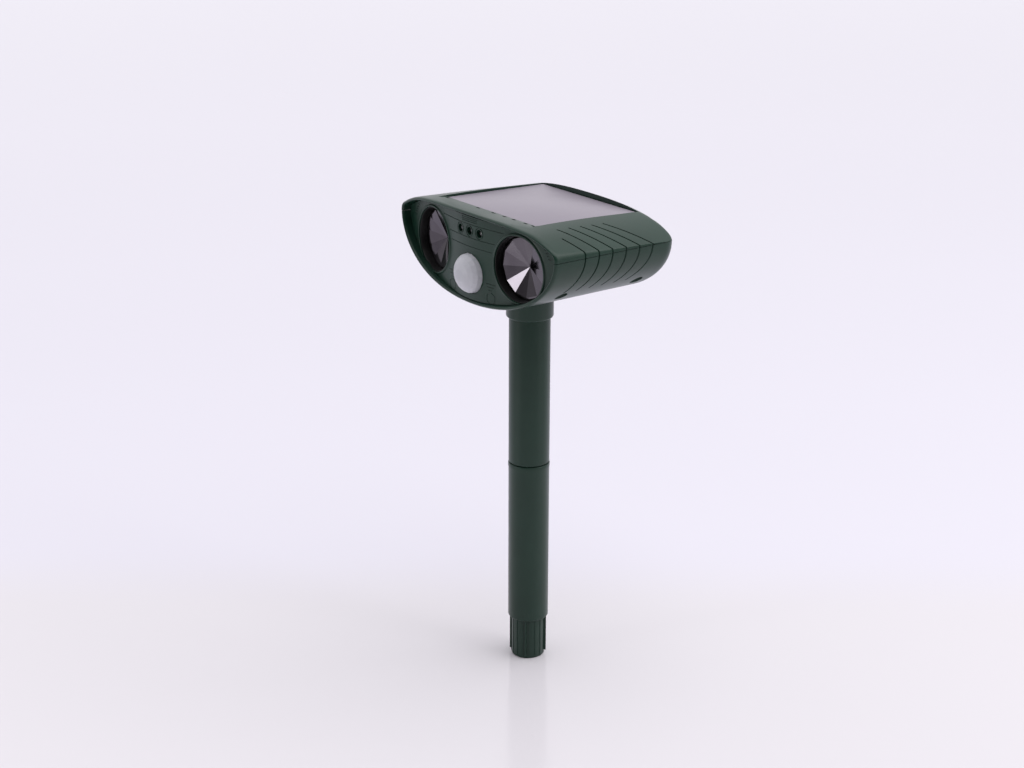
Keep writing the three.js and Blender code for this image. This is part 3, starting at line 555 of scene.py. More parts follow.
top_casing = casing_skin("top_casing")
tray = panel_block("tray", PANEL_MARGIN + TRAY_WALL, -TRAY_DEPTH - TRAY_WALL, 12 * MM)
trim(tray, inside, keep_tool=True)
add(top_casing, tray)
for spot in WELL_SPOTS:
    sleeve = upright("sleeve", SLEEVE_RADIUS, spot, BOSS_TOP_Z + PARTING_GAP, CROWN_Z)
    trim(sleeve, inside, keep_tool=True)
    add(top_casing, sleeve)
above = block("above", (-FAR, -FAR, PARTING_Z + PARTING_GAP / 2), (FAR, FAR, FAR * 2))
trim(top_casing, above)
cut(top_casing, panel_block("pocket", PANEL_MARGIN * 2, -TRAY_DEPTH, 12 * MM))
cut(top_casing, front_land())
cut(top_casing, blades, keep_tool=True)
for x in NOTCH_SPOTS:
    low = (x - NOTCH_HALF, PANEL_LOW.y - 2.8 * MM, PANEL_FRONT_Z - 0.3 * MM)
    high = (x + NOTCH_HALF, PANEL_LOW.y - 1.4 * MM, CROWN_Z)
    cut(top_casing, block("notch", low, high))
for spot in WELL_SPOTS:
    pilot = upright("pilot", SCREW_HOLE, spot, PARTING_Z - MM, PILOT_TOP_Z, 20)
    cut(top_casing, pilot)
smooth_with_sharp_edges(top_casing, SHARP_TURN)
top_casing.data.materials.append(casing_green)
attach(top_casing, "head")
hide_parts("top_shell")

JOINT_TOP_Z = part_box("upper_tube")[1].z
COLLAR_LOW_Z = JOINT_TOP_Z - 10.4 * MM
COLLAR_RADIUS = 13.7 * MM
COLLAR_EDGE = 1.2 * MM
SPIGOT_RADIUS = 10.9 * MM
SPIGOT_BORE = 9.4 * MM
SPIGOT_LOW_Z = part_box("bottom_shell")[0].z
POLE_RADIUS = 12.0 * MM
SWIVEL_GAP = 0.15 * MM


def spun(name, outline, steps=96):
    """A turned solid about +Z from a closed outline of radius and height."""
    shape = bmesh.new()
    ring = [shape.verts.new((r, 0, z)) for r, z in outline]
    edges = [shape.edges.new((a, b)) for a, b in zip(ring, ring[1:] + ring[:1])]
    bmesh.ops.spin(
        shape,
        geom=ring + edges,
        cent=(0, 0, 0),
        axis=(0, 0, 1),
        angle=2 * math.pi,
        steps=steps,
        use_merge=True,
    )
    bmesh.ops.remove_doubles(shape, verts=shape.verts, dist=0.002 * MM)
    bmesh.ops.dissolve_degenerate(shape, edges=shape.edges, dist=0.002 * MM)
    on_axis = [edge for edge in shape.edges if not edge.link_faces]
    bmesh.ops.delete(shape, geom=on_axis, context="EDGES")
    bmesh.ops.recalc_face_normals(shape, faces=shape.faces)
    return make_piece(name, shape)


def arc(cx, cz, radius, start, end, steps=5):
    """Points on an arc, angles in degrees."""
    points = []
    for i in range(steps + 1):
        a = math.radians(start + (end - start) * i / steps)
        points.append((cx + radius * math.cos(a), cz + radius * math.sin(a)))
    return points


def collar():
    slot_top = JOINT_TOP_Z + PARTING_GAP
    slot_outer = POLE_RADIUS + SWIVEL_GAP
    top = BELLY_Z + 9 * MM
    outline = [(SPIGOT_BORE, SPIGOT_LOW_Z), (SPIGOT_RADIUS - 0.6 * MM, SPIGOT_LOW_Z)]
    outline += [(SPIGOT_RADIUS, SPIGOT_LOW_Z + 0.8 * MM), (SPIGOT_RADIUS, slot_top), (slot_outer, slot_top)]
    outline += [(slot_outer, COLLAR_LOW_Z + 0.2 * MM), (slot_outer + 0.2 * MM, COLLAR_LOW_Z)]
    outline += arc(COLLAR_RADIUS - COLLAR_EDGE, COLLAR_LOW_Z + COLLAR_EDGE, COLLAR_EDGE, -90, 0)
    outline += [(COLLAR_RADIUS, top), (SPIGOT_BORE, top)]
    return spun("collar", outline)


DOOR_LOW, DOOR_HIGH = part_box("battery_door")
DOOR_Y = (DOOR_LOW.y + DOOR_HIGH.y) / 2
DOOR_TOP_Z = BELLY_Z + 12.4 * MM
DOOR_SEAT_Z = BELLY_Z + 8.6 * MM
DOOR_SPOTS = [(side * 41 * MM, DOOR_Y) for side in (-1, 1)]
DOOR_GAP = 0.3 * MM
DOOR_POST_HALF = 3.5 * MM
DOOR_POST_REACH = 2.3 * MM
KNOB_LOW, KNOB_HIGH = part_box("mode_knob")
KNOB_X = (KNOB_LOW.x + KNOB_HIGH.x) / 2
SWITCH_LOW, SWITCH_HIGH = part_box("power_switch")
SWITCH_PLAY = 0.4 * MM
SWITCH_TRAVEL = 4.0 * MM
PORT_LOW, PORT_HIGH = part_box("charging_port")
PORT_PLAY = 0.6 * MM
CONTROL_Z = 252.0 * MM
UNDER_Z = 0.2
WALL_INSIDE = REAR_Y - 10 * MM
WALL_OUTSIDE = REAR_Y + 10 * MM

bottom_casing = casing_skin("bottom_casing")
below = block("below", (-FAR, -FAR, 0), (FAR, FAR, PARTING_Z - PARTING_GAP / 2))
trim(bottom_casing, below)
for spot in WELL_SPOTS:
    boss = upright("boss", BOSS_RADIUS, spot, BELLY_Z, BOSS_TOP_Z)
    trim(boss, inside, keep_tool=True)
    add(bottom_casing, boss)
for x, y in DOOR_SPOTS:
    low = (x - DOOR_POST_HALF, DOOR_LOW.y - DOOR_POST_REACH, BELLY_Z)
    high = (x + DOOR_POST_HALF, DOOR_HIGH.y + DOOR_POST_REACH, DOOR_TOP_Z + 4.6 * MM)
    door_post = block("door_post", low, high)
    trim(door_post, inside, keep_tool=True)
    add(bottom_casing, door_post)
bpy.data.objects.remove(inside)
low = (DOOR_LOW.x - DOOR_GAP, DOOR_LOW.y - DOOR_GAP, UNDER_Z)
high = (DOOR_HIGH.x + DOOR_GAP, DOOR_HIGH.y + DOOR_GAP, DOOR_TOP_Z)
cut(bottom_casing, block("doorway", low, high))
cut(bottom_casing, upright("bore", SPIGOT_BORE, (0, 0), 0.15, BELLY_Z + 20 * MM, 96))
add(bottom_casing, collar())
for spot in DOOR_SPOTS:
    door_pilot = upright("door_pilot", 1.1 * MM, spot, UNDER_Z, DOOR_TOP_Z + 6 * MM, 20)
    cut(bottom_casing, door_pilot)
for spot in WELL_SPOTS:
    cut(bottom_casing, upright("well", WELL_RADIUS, spot, UNDER_Z, WELL_TOP_Z))
    clearance = upright("clearance", SCREW_HOLE, spot, UNDER_Z, BOSS_TOP_Z + MM, 20)
    cut(bottom_casing, clearance)
low, high = (KNOB_X, WALL_INSIDE, CONTROL_Z), (KNOB_X, WALL_OUTSIDE, CONTROL_Z)
cut(bottom_casing, post("shaft_hole", 3.3 * MM, low, high))
low = (SWITCH_LOW.x - SWITCH_PLAY, WALL_INSIDE, CONTROL_Z - 2.3 * MM)
high = (SWITCH_HIGH.x + SWITCH_TRAVEL + SWITCH_PLAY, WALL_OUTSIDE, CONTROL_Z + 2.3 * MM)
cut(bottom_casing, block("switch_slot", low, high))
low = (PORT_LOW.x - PORT_PLAY, WALL_INSIDE, PORT_LOW.z - PORT_PLAY)
high = (PORT_HIGH.x + PORT_PLAY, WALL_OUTSIDE, PORT_HIGH.z + PORT_PLAY)
cut(bottom_casing, block("port_window", low, high))
cut(bottom_casing, blades)
smooth_with_sharp_edges(bottom_casing, SHARP_TURN)
bottom_casing.data.materials.append(casing_green)
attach(bottom_casing, "head")
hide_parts("bottom_shell")


# ---------- pole ----------
# Two equal moulded tubes. Each has a thinner plug with fins and fine flutes at its lower end, which
# is pressed into whatever stands below it: the upper one in the lower one, the lower one in a spike.

TUBE_LENGTH = 99.1 * MM
PLUG_LENGTH = 25.6 * MM
PLUG_RADIUS = 9.8 * MM
PLUG_BORE = 8.6 * MM
TUBE_BORE = 11.2 * MM
TUBE_ROUND = 0.8 * MM
RIM_ROUND = 0.45 * MM
FIN_RADIUS = 11.0 * MM
FIN_COUNT = 4
FLUTE_COUNT = 16


def pole_tube(name, node, bead):
    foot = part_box(node)[0].z
    seat = foot + PLUG_LENGTH
    top = seat + TUBE_LENGTH
    plug_edge, seat_edge = PLUG_RADIUS - TUBE_ROUND, POLE_RADIUS - TUBE_ROUND
    outline = [(0, foot), (plug_edge, foot)]
    outline += arc(plug_edge, foot + TUBE_ROUND, TUBE_ROUND, -90, 0, 3)[1:]
    outline += [(PLUG_RADIUS, seat), (seat_edge, seat)]
    outline += arc(seat_edge, seat + TUBE_ROUND, TUBE_ROUND, -90, 0, 4)[1:]
    if bead:
        outline += [(POLE_RADIUS, top - 3 * MM), (POLE_RADIUS + bead, top - 2.4 * MM)]
    outline += arc(POLE_RADIUS + bead - RIM_ROUND, top - RIM_ROUND, RIM_ROUND, 0, 90, 4)
    outline += [(TUBE_BORE + 0.15 * MM, top), (TUBE_BORE, top - 0.3 * MM), (TUBE_BORE, seat + 3.5 * MM)]
    outline += [(PLUG_BORE, seat + 1.4 * MM), (PLUG_BORE, foot + 1.5 * MM), (0, foot + 1.5 * MM)]
    tube = spun(name, outline, 128)
    rib_top = seat + 0.2 * MM
    for i in range(FIN_COUNT):
        turn = Matrix.Rotation(2 * math.pi * (i + 0.5) / FIN_COUNT, 4, "Z")
        low = (PLUG_RADIUS - 0.5 * MM, -0.45 * MM, foot + 2 * MM)
        add(tube, block("fin", low, (FIN_RADIUS, 0.45 * MM, rib_top), turn))
    for i in range(FLUTE_COUNT):
        turn = Matrix.Rotation(2 * math.pi * (i + 0.5) / FLUTE_COUNT, 4, "Z")
        low = (PLUG_RADIUS - 0.4 * MM, -0.3 * MM, foot + 1.2 * MM)
        high = (PLUG_RADIUS + 0.22 * MM, 0.3 * MM, rib_top)
        add(tube, block("flute", low, high, turn))
    smooth_with_sharp_edges(tube, 40)
    return tube


pole_green = green_moulding("pole_green", 0.25, 0.6)
for name, node, body, bead in (
    ("lower_pole", "lower_tube", "pole_base", 0.2 * MM),
    ("upper_pole", "upper_tube", "pole_top", 0.0),
):
    tube = pole_tube(name, node, bead)
    tube.data.materials.append(pole_green)
    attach(tube, body)
    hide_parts(node)


# ---------- face plate ----------
# A moulded front plate, bent back on both sides of a rounded nose, with a raised lip round each horn,
# holes for the sensor dome and the lamps, and fine engraved lines. It snaps in between the shells.

FACE_TOE = math.radians(7.7)
FACE_THICKNESS = 2.2 * MM
FACE_GAP = 0.3 * MM
NOSE_HALF = 14.0 * MM
HORN_X = 39.6 * MM
HORN_Y = -37.9 * MM
HORN_Z = 256.4 * MM
HORN_RADIUS = 18.7 * MM
HORN_LIP = 1.5 * MM
LIP_RISE = 0.9 * MM
LENS_Z = 246.2 * MM
LENS_RADIUS = 11.3 * MM
LAMP_Z = 270.3 * MM
LAMP_PITCH = 8.7 * MM
LAMP_HOLE = 2.3 * MM
LAMP_SPOTS = ((-1, "left"), (0, "middle"), (1, "right"))
ENGRAVING = 0.36 * MM
MARK_HALF = 0.2 * MM
RING_RADIUS = 3.3 * MM
HEXAGON_X = 18.0 * MM
HEXAGON_Z = 235.4 * MM
HEXAGON_RADIUS = 3.7 * MM
AHEAD_Y = -0.06
BEHIND_Y = -0.02
NOSE_ROUND = NOSE_HALF / math.sin(FACE_TOE)


def face_y(x):
    """Where the front of the plate lies, at a distance x from its middle."""
    edge = HORN_Y + (NOSE_HALF - HORN_X) * math.tan(FACE_TOE)
    if abs(x) > NOSE_HALF:
        return edge + (abs(x) - NOSE_HALF) * math.tan(FACE_TOE)
    return edge + NOSE_ROUND * math.cos(FACE_TOE) - math.sqrt(NOSE_ROUND**2 - x * x)


def bent_sheet(name, set_back, thickness):
    """A sheet as wide as the head that follows the bend of the plate."""
    shape = bmesh.new()
    bmesh.ops.create_grid(shape, x_segments=116, y_segments=1, size=1)
    grown = bmesh.ops.extrude_face_region(shape, geom=shape.faces[:])["geom"]
    for vertex in grown:
        if isinstance(vertex, bmesh.types.BMVert):
            vertex.co.z = 1
    for vertex in shape.verts:
        x = vertex.co.x * HALF_WIDTH
        z = BELLY_Z - 5 * MM if vertex.co.y < 0 else CROWN_Z + 5 * MM
        vertex.co = (x, face_y(x) + set_back + thickness * vertex.co.z, z)
    bmesh.ops.recalc_face_normals(shape, faces=shape.faces)
    return make_piece(name, shape)


def horn_place(side):
    """From a turned shape's own axes to a horn's: its height comes out of the face."""
    turn = Matrix.Rotation(side * FACE_TOE, 4, "Z") @ Matrix.Rotation(math.pi / 2, 4, "X")
    return Matrix.Translation((side * HORN_X, HORN_Y, HORN_Z)) @ turn


def centre_place(y, z, x=0.0):
    return Matrix.Translation((x, y, z)) @ Matrix.Rotation(math.pi / 2, 4, "X")


def face_post(name, x, z, radius, steps=40, extra=0.0):
    """A round or six-sided bar that runs through the plate."""
    return post(name, radius, (x, AHEAD_Y - extra, z), (x, BEHIND_Y + extra, z), steps)


def engraved_lines():
    """Cutters for the lines between the horns and the short marks round the dome and the lamps."""
    marks = []
    for rise in (274.1, 266.6, 261.6):
        away = abs(rise * MM - HORN_Z)
        reach = HORN_X - math.sqrt((HORN_RADIUS + HORN_LIP + MM) ** 2 - away**2)
        marks.append((-reach, reach, rise * MM))
    for rise in (275.6, 276.6, 277.6):
        marks.append((-7 * MM, 7 * MM, rise * MM))
    for side in (-1, 1):
        for i, rise in enumerate((243.6, 241.8, 240.0)):
            ends = sorted((side * (14.5 + 0.8 * i) * MM, side * (21.5 - 1.2 * i) * MM))
            marks.append((*ends, rise * MM))
        for i in range(5):
            start = side * (57.5 + 0.9 * i) * MM
            ends = sorted((start, start + side * 2.6 * MM))
            marks.append((*ends, (272.6 - 1.5 * i) * MM))
    pieces = []
    for x0, x1, z in marks:
        pieces.append(block("mark", (x0, AHEAD_Y, z - MARK_HALF), (x1, BEHIND_Y, z + MARK_HALF)))
    outlines = [(side * HEXAGON_X, HEXAGON_Z, HEXAGON_RADIUS, 0.4 * MM, 6) for side in (-1, 1)]
    outlines += [(i * LAMP_PITCH, LAMP_Z, RING_RADIUS, 0.5 * MM, 40) for i, _ in LAMP_SPOTS]
    for x, z, radius, line, steps in outlines:
        ring = face_post("ring", x, z, radius, steps)
        cut(ring, face_post("hole", x, z, radius - line, steps, 0.01))
        pieces.append(ring)
    core = bent_sheet("face_core", ENGRAVING, CORE_REACH)
    for piece in pieces:
        cut(piece, core, keep_tool=True)
    bpy.data.objects.remove(core)
    return pieces


def face_plate():
    plate = bent_sheet("face_panel", 0.0, FACE_THICKNESS)
    core = casing_core("face_outline", SHELL_WALL + FACE_GAP, CORE_REACH)
    trim(plate, core, keep_tool=True)
    lip_inner, lip_outer = HORN_RADIUS - 0.5 * MM, HORN_RADIUS + HORN_LIP * 1.25
    lip_back = -1.5 * MM
    outline = [(lip_inner, lip_back), (lip_inner, LIP_RISE * 0.5)]
    outline += arc(HORN_RADIUS + 0.35 * MM, LIP_RISE - 0.6 * MM, 0.6 * MM, 150, 30, 6)
    outline += [(HORN_RADIUS + HORN_LIP * 0.85, 0.15 * MM), (lip_outer, 0), (lip_outer, lip_back)]
    for side in (-1, 1):
        lip = spun("lip", outline, 128)
        lip.data.transform(horn_place(side))
        trim(lip, core, keep_tool=True)
        add(plate, lip)
        mouth = spun("mouth", [(0, -0.01), (HORN_RADIUS, -0.01), (HORN_RADIUS, 0.01), (0, 0.01)], 128)
        mouth.data.transform(horn_place(side))
        cut(plate, mouth)
    bpy.data.objects.remove(core)
    cut(plate, face_post("dome_hole", 0, LENS_Z, LENS_RADIUS + 0.2 * MM, 96))
    for i, _ in LAMP_SPOTS:
        cut(plate, face_post("lamp_hole", i * LAMP_PITCH, LAMP_Z, LAMP_HOLE))
    for cutter in engraved_lines():
        cut(plate, cutter)
    smooth_with_sharp_edges(plate, SHARP_TURN)
    return plate


face = face_plate()
face.data.materials.append(green_moulding("face_green", 0.6, 0.3))
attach(face, "head")
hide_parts("face_plate")


# ---------- horns ----------
# Each horn is a black moulded cup with a bright plated reflector of twelve flat facets at its bottom.
# The cups are clipped behind the face plate and hold the sounders.

WALL_DEPTH = 4.4 * MM
APEX_DEPTH = 8.8 * MM
CONE_RADIUS = 17.3 * MM
CONE_THICKNESS = 0.6 * MM
CONE_FACETS = 12
CONE_TURN = math.radians(5)
DRIVER_RADIUS = 12.0 * MM
HORN_GAP = 0.3 * MM


def noise_moulding(name, dark, light, roughness, grain, scale=900, metallic=0.0, specular=0.4):
    """A moulded or plated surface whose colour and gloss vary a little, with a fine grain."""
    material, nodes, links, skin, place = new_material(name)
    set_values(skin, {"Metallic": metallic, "Specular IOR Level": specular})
    cloud = new_noise(nodes, scale / 12, 4)
    tint = new_ramp(nodes, 0.3, dark, 0.7, light)
    gloss = new_range(nodes, 0, 1, roughness * 0.85, roughness * 1.2)
    fine = new_noise(nodes, scale, 3)
    relief = new_relief(nodes, grain)
    join(
        links,
        (place, "Object", cloud, "Vector"),
        (place, "Object", fine, "Vector"),
        (cloud, "Fac", tint, "Fac"),
        (tint, "Color", skin, "Base Color"),
        (cloud, "Fac", gloss, "Value"),
        (gloss, "Result", skin, "Roughness"),
        (fine, "Fac", relief, "Height"),
        (relief, "Normal", skin, "Normal"),
    )
    return material


def paint(node, material):
    """Gives a plain piece its finish and leaves its shape as it is."""
    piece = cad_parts[node]
    piece.data.materials.clear()
    piece.data.materials.append(material)


def horn_cup(name, side):
    mouth = HORN_RADIUS - HORN_GAP
    back = -FACE_THICKNESS - HORN_GAP
    floor = -APEX_DEPTH - 3 * MM
    seat, shoulder = CONE_RADIUS + HORN_GAP, HORN_RADIUS + 1.1 * MM
    throat, bore = DRIVER_RADIUS + 2 * MM, DRIVER_RADIUS + HORN_GAP
    outline = [(seat, -WALL_DEPTH), (mouth - 0.5 * MM, -0.4 * MM), (mouth - 0.3 * MM, 0.15 * MM)]
    outline += [(mouth - 0.1 * MM, 0.2 * MM), (mouth, 0), (mouth, back), (shoulder, back)]
    outline += [(shoulder, -WALL_DEPTH - 1.2 * MM), (throat, -WALL_DEPTH - 5.6 * MM), (throat, floor)]
    outline += [(bore, floor), (bore, -APEX_DEPTH + MM), (seat, -WALL_DEPTH - 1.6 * MM)]
    cup = spun(name, outline, 128)
    cup.data.transform(horn_place(side))
    trim(cup, casing_core("cup_limit", SHELL_WALL + FACE_GAP, CORE_REACH))
    smooth_with_sharp_edges(cup, 35)
    return cup


def reflector(name, side):
    """A shallow twelve-sided cone: the facets meet at creases, and the rim is turned flat."""
    shape = bmesh.new()
    turn = Matrix.Rotation(side * CONE_TURN, 4, "Z")
    rim_z = -WALL_DEPTH - HORN_GAP
    rings = ((CONE_RADIUS, rim_z), (CONE_RADIUS - 0.8 * MM, rim_z), (0.5 * MM, -APEX_DEPTH))
    rims = []
    for radius, height in rings:
        corners = bmesh.ops.create_circle(shape, segments=CONE_FACETS, radius=radius)["verts"]
        for vertex in corners:
            vertex.co.z = height
        rims.append([edge for edge in shape.edges if edge.verts[0] in corners])
    for outer, inner in zip(rims, rims[1:]):
        bmesh.ops.bridge_loops(shape, edges=outer + inner)
    bmesh.ops.contextual_create(shape, geom=rims[-1])
    bmesh.ops.solidify(shape, geom=shape.faces[:], thickness=CONE_THICKNESS)
    bmesh.ops.recalc_face_normals(shape, faces=shape.faces)
    bmesh.ops.transform(shape, matrix=horn_place(side) @ turn, verts=shape.verts)
    return make_piece(name, shape)


horn_black = noise_moulding("horn_black", (0.0035, 0.0033, 0.0035), (0.006, 0.0055, 0.006), 0.45, 0.3)
plated = noise_moulding(
    "plated_reflector", (0.100, 0.090, 0.104), (0.130, 0.120, 0.135), 0.09, 0.05, 700, 1.0
)
sounder_grey = noise_moulding("sounder_grey", (0.13, 0.135, 0.14), (0.19, 0.195, 0.20), 0.5, 0.4)
for side, word in ((-1, "left"), (1, "right")):
    cup = horn_cup(f"horn_wall_{word}", side)
    cup.data.materials.append(horn_black)
    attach(cup, "head")
    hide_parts(f"horn_cup_{word}")
    mirror = reflector(f"horn_reflector_{word}", side)
    mirror.data.materials.append(plated)
    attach(mirror, "head")
    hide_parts(f"horn_cone_{word}")
    paint(f"driver_{word}", sounder_grey)


# ---------- sensor dome ----------
# A milky polythene dome, moulded with rows of small lens facets, clipped in from behind the plate.
# The sensor's metal can sits on the board behind it.

LENS_RISE = 7.8 * MM
LENS_WALL = 0.8 * MM
LENS_ROWS = 5
LENS_COLUMNS = 18
FACET_CROWN = 0.2
LENS_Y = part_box("sensor_lens")[0].y + LENS_RISE


def dome_arc(radius, rise, start):
    """Points of a quarter of an ellipse, from its crown down, or up from its foot."""
    angles = [math.pi / 2 * abs(start - i / LENS_ROWS) for i in range(LENS_ROWS + 1)]
    return [(radius * math.cos(a), rise * math.sin(a)) for a in angles]


def sensor_dome():
    base = -FACE_THICKNESS - 0.8 * MM
    flange, inner = LENS_RADIUS + 1.2 * MM, LENS_RADIUS - LENS_WALL
    outline = dome_arc(LENS_RADIUS, LENS_RISE, 1)
    outline += [(LENS_RADIUS, base), (flange, base), (flange, base - MM), (inner, base - MM)]
    outline += dome_arc(inner, LENS_RISE - LENS_WALL, 0)
    dome = spun("sensor_window", outline, LENS_COLUMNS)
    shape = bmesh.new()
    shape.from_mesh(dome.data)
    facets = []
    for face in shape.faces:
        middle = face.calc_center_median()
        outside = face.normal.dot(middle) > 0 and middle.length > LENS_RISE * 0.97
        if outside and middle.z > 0.2 * MM and len(face.verts) == 4:
            facets.append(face)
    chosen = {edge for face in facets for edge in face.edges}
    edges = [edge for edge in shape.edges if edge in chosen]
    bmesh.ops.subdivide_edges(shape, edges=edges, cuts=2, use_grid_fill=True, smooth=0)
    shape.normal_update()
    for vertex in shape.verts:
        radius = math.hypot(vertex.co.x, vertex.co.y)
        outer_z = LENS_RISE * math.sqrt(max(1 - (radius / LENS_RADIUS) ** 2, 0))
        if vertex.co.z > 0.3 * MM and vertex.co.z > outer_z - 0.45 * MM and radius > 0.2 * MM:
            full = math.hypot(radius / LENS_RADIUS, vertex.co.z / LENS_RISE)
            vertex.co *= 1 + (1 / full - 1) * FACET_CROWN
    for face in shape.faces:
        face.smooth = True
    for edge in shape.edges:
        edge.smooth = edge.calc_face_angle(0) < math.radians(5)
    shape.to_mesh(dome.data)
    shape.free()
    dome.data.transform(centre_place(LENS_Y, LENS_Z))
    return dome


def milky_polythene():
    material = noise_moulding("milky_polythene", (0.56, 0.57, 0.615), (0.65, 0.66, 0.71), 0.36, 0.25, 500)
    skin = material.node_tree.nodes["Principled BSDF"]
    set_values(skin, {"Subsurface Weight": 0.35, "Subsurface Scale": 1.0})
    set_values(skin, {"Subsurface Radius": (2 * MM, 2 * MM, 2 * MM)})
    return material


dome = sensor_dome()
dome.data.materials.append(milky_polythene())
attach(dome, "head")
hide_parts("sensor_lens")


# ---------- lamps ----------
# Three small round lamps with clear domed ends, which stand on the sensor board in holes of the plate.


def lamp(name, x, node):
    low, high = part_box(node)
    radius = (high.x - low.x) / 2
    length = high.y - low.y
    outline = [(0, 0)]
    for angle in (0.3, 0.6, 0.9, 1.2, math.pi / 2):
        outline.append((radius * math.sin(angle), radius * 0.8 * (math.cos(angle) - 1)))
    outline += [(radius, -length), (0, -length)]
    bulb = spun(name, outline, 40)
    bulb.data.transform(centre_place(low.y, LAMP_Z, x))
    smooth_with_sharp_edges(bulb, 40)
    return bulb


clear_resin = noise_moulding(
    "clear_resin", (0.010, 0.013, 0.012), (0.030, 0.036, 0.034), 0.12, 0.05, 300, specular=0.6
)
clear_resin.node_tree.nodes["Principled BSDF"].inputs["Coat Weight"].default_value = 0.6
for i, word in LAMP_SPOTS:
    bulb = lamp(f"indicator_{word}", i * LAMP_PITCH, f"lamp_{word}")
    bulb.data.materials.append(clear_resin)
    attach(bulb, "head")
    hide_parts(f"lamp_{word}")


# ---------- solar panel ----------
# A cell plate under a thin milky epoxy cover, bonded into the tray of the upper shell on a foam ring.
# The cover hides the strings of cells, which show only as very faint lines.


def soften(piece, radius, steps=3, least=0.0):
    """Rounds the edges of a block, or only those that rise by a least height."""
    shape = bmesh.new()
    shape.from_mesh(piece.data)
    edges = [e for e in shape.edges if abs(e.verts[0].co.z - e.verts[1].co.z) >= least]
    bmesh.ops.bevel(
        shape, geom=edges, offset=radius, segments=steps, profile=0.5, affect="EDGES", material=-1
    )
    shape.to_mesh(piece.data)
    shape.free()
    return piece


def epoxy_cover():
    material = noise_moulding(
        "epoxy_cover", (0.270, 0.245, 0.288), (0.290, 0.265, 0.308), 0.34, 0.08, 500, specular=0.26
    )
    nodes, links = material.node_tree.nodes, material.node_tree.links
    skin = nodes["Principled BSDF"]
    place = nodes.new("ShaderNodeTexCoord")
    strings = nodes.new("ShaderNodeTexBrick")
    strings.offset = 0.0
    set_values(
        strings,
        {
            "Scale": 1.0,
            "Brick Width": 0.0141,
            "Row Height": 0.0345,
            "Mortar Size": 0.00022,
            "Color1": (1, 1, 1, 1),
            "Color2": (0.985, 0.985, 0.99, 1),
            "Mortar": (0.95, 0.95, 0.955, 1),
        },
    )
    shade = nodes.new("ShaderNodeMix")
    shade.data_type = "RGBA"
    shade.blend_type = "MULTIPLY"
    shade.inputs["Factor"].default_value = 1.0
    base = skin.inputs["Base Color"].links[0].from_socket
    links.new(place.outputs["Object"], strings.inputs["Vector"])
    links.new(base, shade.inputs["A"])
    join(
        links,
        (strings, "Color", shade, "B"),
        (shade, "Result", skin, "Base Color"),
    )
    return material


SEAL_WIDTH = 4.0 * MM
panel = soften(panel_block("panel_cover", 0, -PANEL_THICKNESS, 0), 0.25 * MM, 2)
smooth_with_sharp_edges(panel, 50)
panel.data.materials.append(epoxy_cover())
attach(panel, "head")
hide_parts("solar_panel")
seal = panel_block("foam_ring", 0, -PANEL_THICKNESS - PANEL_SEAL, -PANEL_THICKNESS - 0.05 * MM)
cut(seal, panel_block("ring_hole", -SEAL_WIDTH, -8 * MM, 8 * MM))
smooth_with_sharp_edges(seal, 30)
black_foam = noise_moulding("black_foam", (0.006, 0.006, 0.006), (0.02, 0.02, 0.02), 0.9, 0.9, 2600)
seal.data.materials.append(black_foam)
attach(seal, "head")
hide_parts("panel_seal")


# ---------- circuit boards and sensor can ----------
# Two green lacquered boards: one stands behind the dome and carries the sensor can and the lamps,
# the other lies under the panel. The can is drawn from nickel-plated steel.

board_lacquer = noise_moulding(
    "board_lacquer", (0.008, 0.060, 0.022), (0.014, 0.095, 0.036), 0.35, 0.4, 1300
)
paint("sensor_board", board_lacquer)
paint("main_board", board_lacquer)
nickel = noise_moulding("nickel_plate", (0.50, 0.49, 0.46), (0.62, 0.61, 0.58), 0.28, 0.25, 1100, 1.0)
paint("motion_sensor", nickel)


# ---------- screws ----------
# Self-tapping pan-head screws of zinc-plated steel with a cross recess. Four close the shells from
# below through deep wells, and two hold the battery door.

THREAD_PITCH = 1.1 * MM


def tapping_screw(name, node, head_height, shank):
    low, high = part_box(node)
    head = (high.x - low.x) / 2
    core = shank * 0.78
    outline = [(0, 0), (head * 0.55, 0.0)]
    for r, z in arc(head * 0.62, head_height * 0.55, head * 0.38, -70, 0, 5):
        outline.append((min(r, head), max(z, 0.02 * MM)))
    outline += [(head, head_height), (shank, head_height)]
    height = head_height + 0.6 * MM
    length = high.z - low.z
    while height < length - 2 * MM:
        outline += [(core, height), (shank, height + THREAD_PITCH / 2)]
        height += THREAD_PITCH
    outline += [(core, height), (shank * 0.35, length), (0, length)]
    screw = spun(name, outline, 32)
    reach, half = head * 0.55, head * 0.13
    for i in (0, 1):
        turn = Matrix.Rotation(math.pi / 2 * i + 0.4, 4, "Z")
        arm = block("arm", (-reach, -half, -MM), (reach, half, head_height * 0.62), turn)
        cut(screw, arm)
    screw.data.transform(Matrix.Translation(((low.x + high.x) / 2, (low.y + high.y) / 2, low.z)))
    smooth_with_sharp_edges(screw, 35)
    return screw


zinc = noise_moulding("zinc_plate", (0.42, 0.42, 0.41), (0.58, 0.58, 0.57), 0.32, 0.3, 1500, 1.0)
for word in ("left_front", "left_rear", "right_front", "right_rear"):
    screw = tapping_screw(f"casing_screw_{word}", f"shell_screw_{word}", 2.0 * MM, 1.5 * MM)
    screw.data.materials.append(zinc)
    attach(screw, "head")
    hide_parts(f"shell_screw_{word}")
for word in ("left", "right"):
    screw = tapping_screw(f"hatch_screw_{word}", f"door_screw_{word}", 1.2 * MM, 1.1 * MM)
    screw.data.materials.append(zinc)
    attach(screw, "battery_door")
    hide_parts(f"door_screw_{word}")


# ---------- battery ----------
# A round rechargeable cell in a printed sleeve. It lies in a black moulded trough between two flat
# contacts of nickel-plated steel.

CELL_ROUND = 0.8 * MM


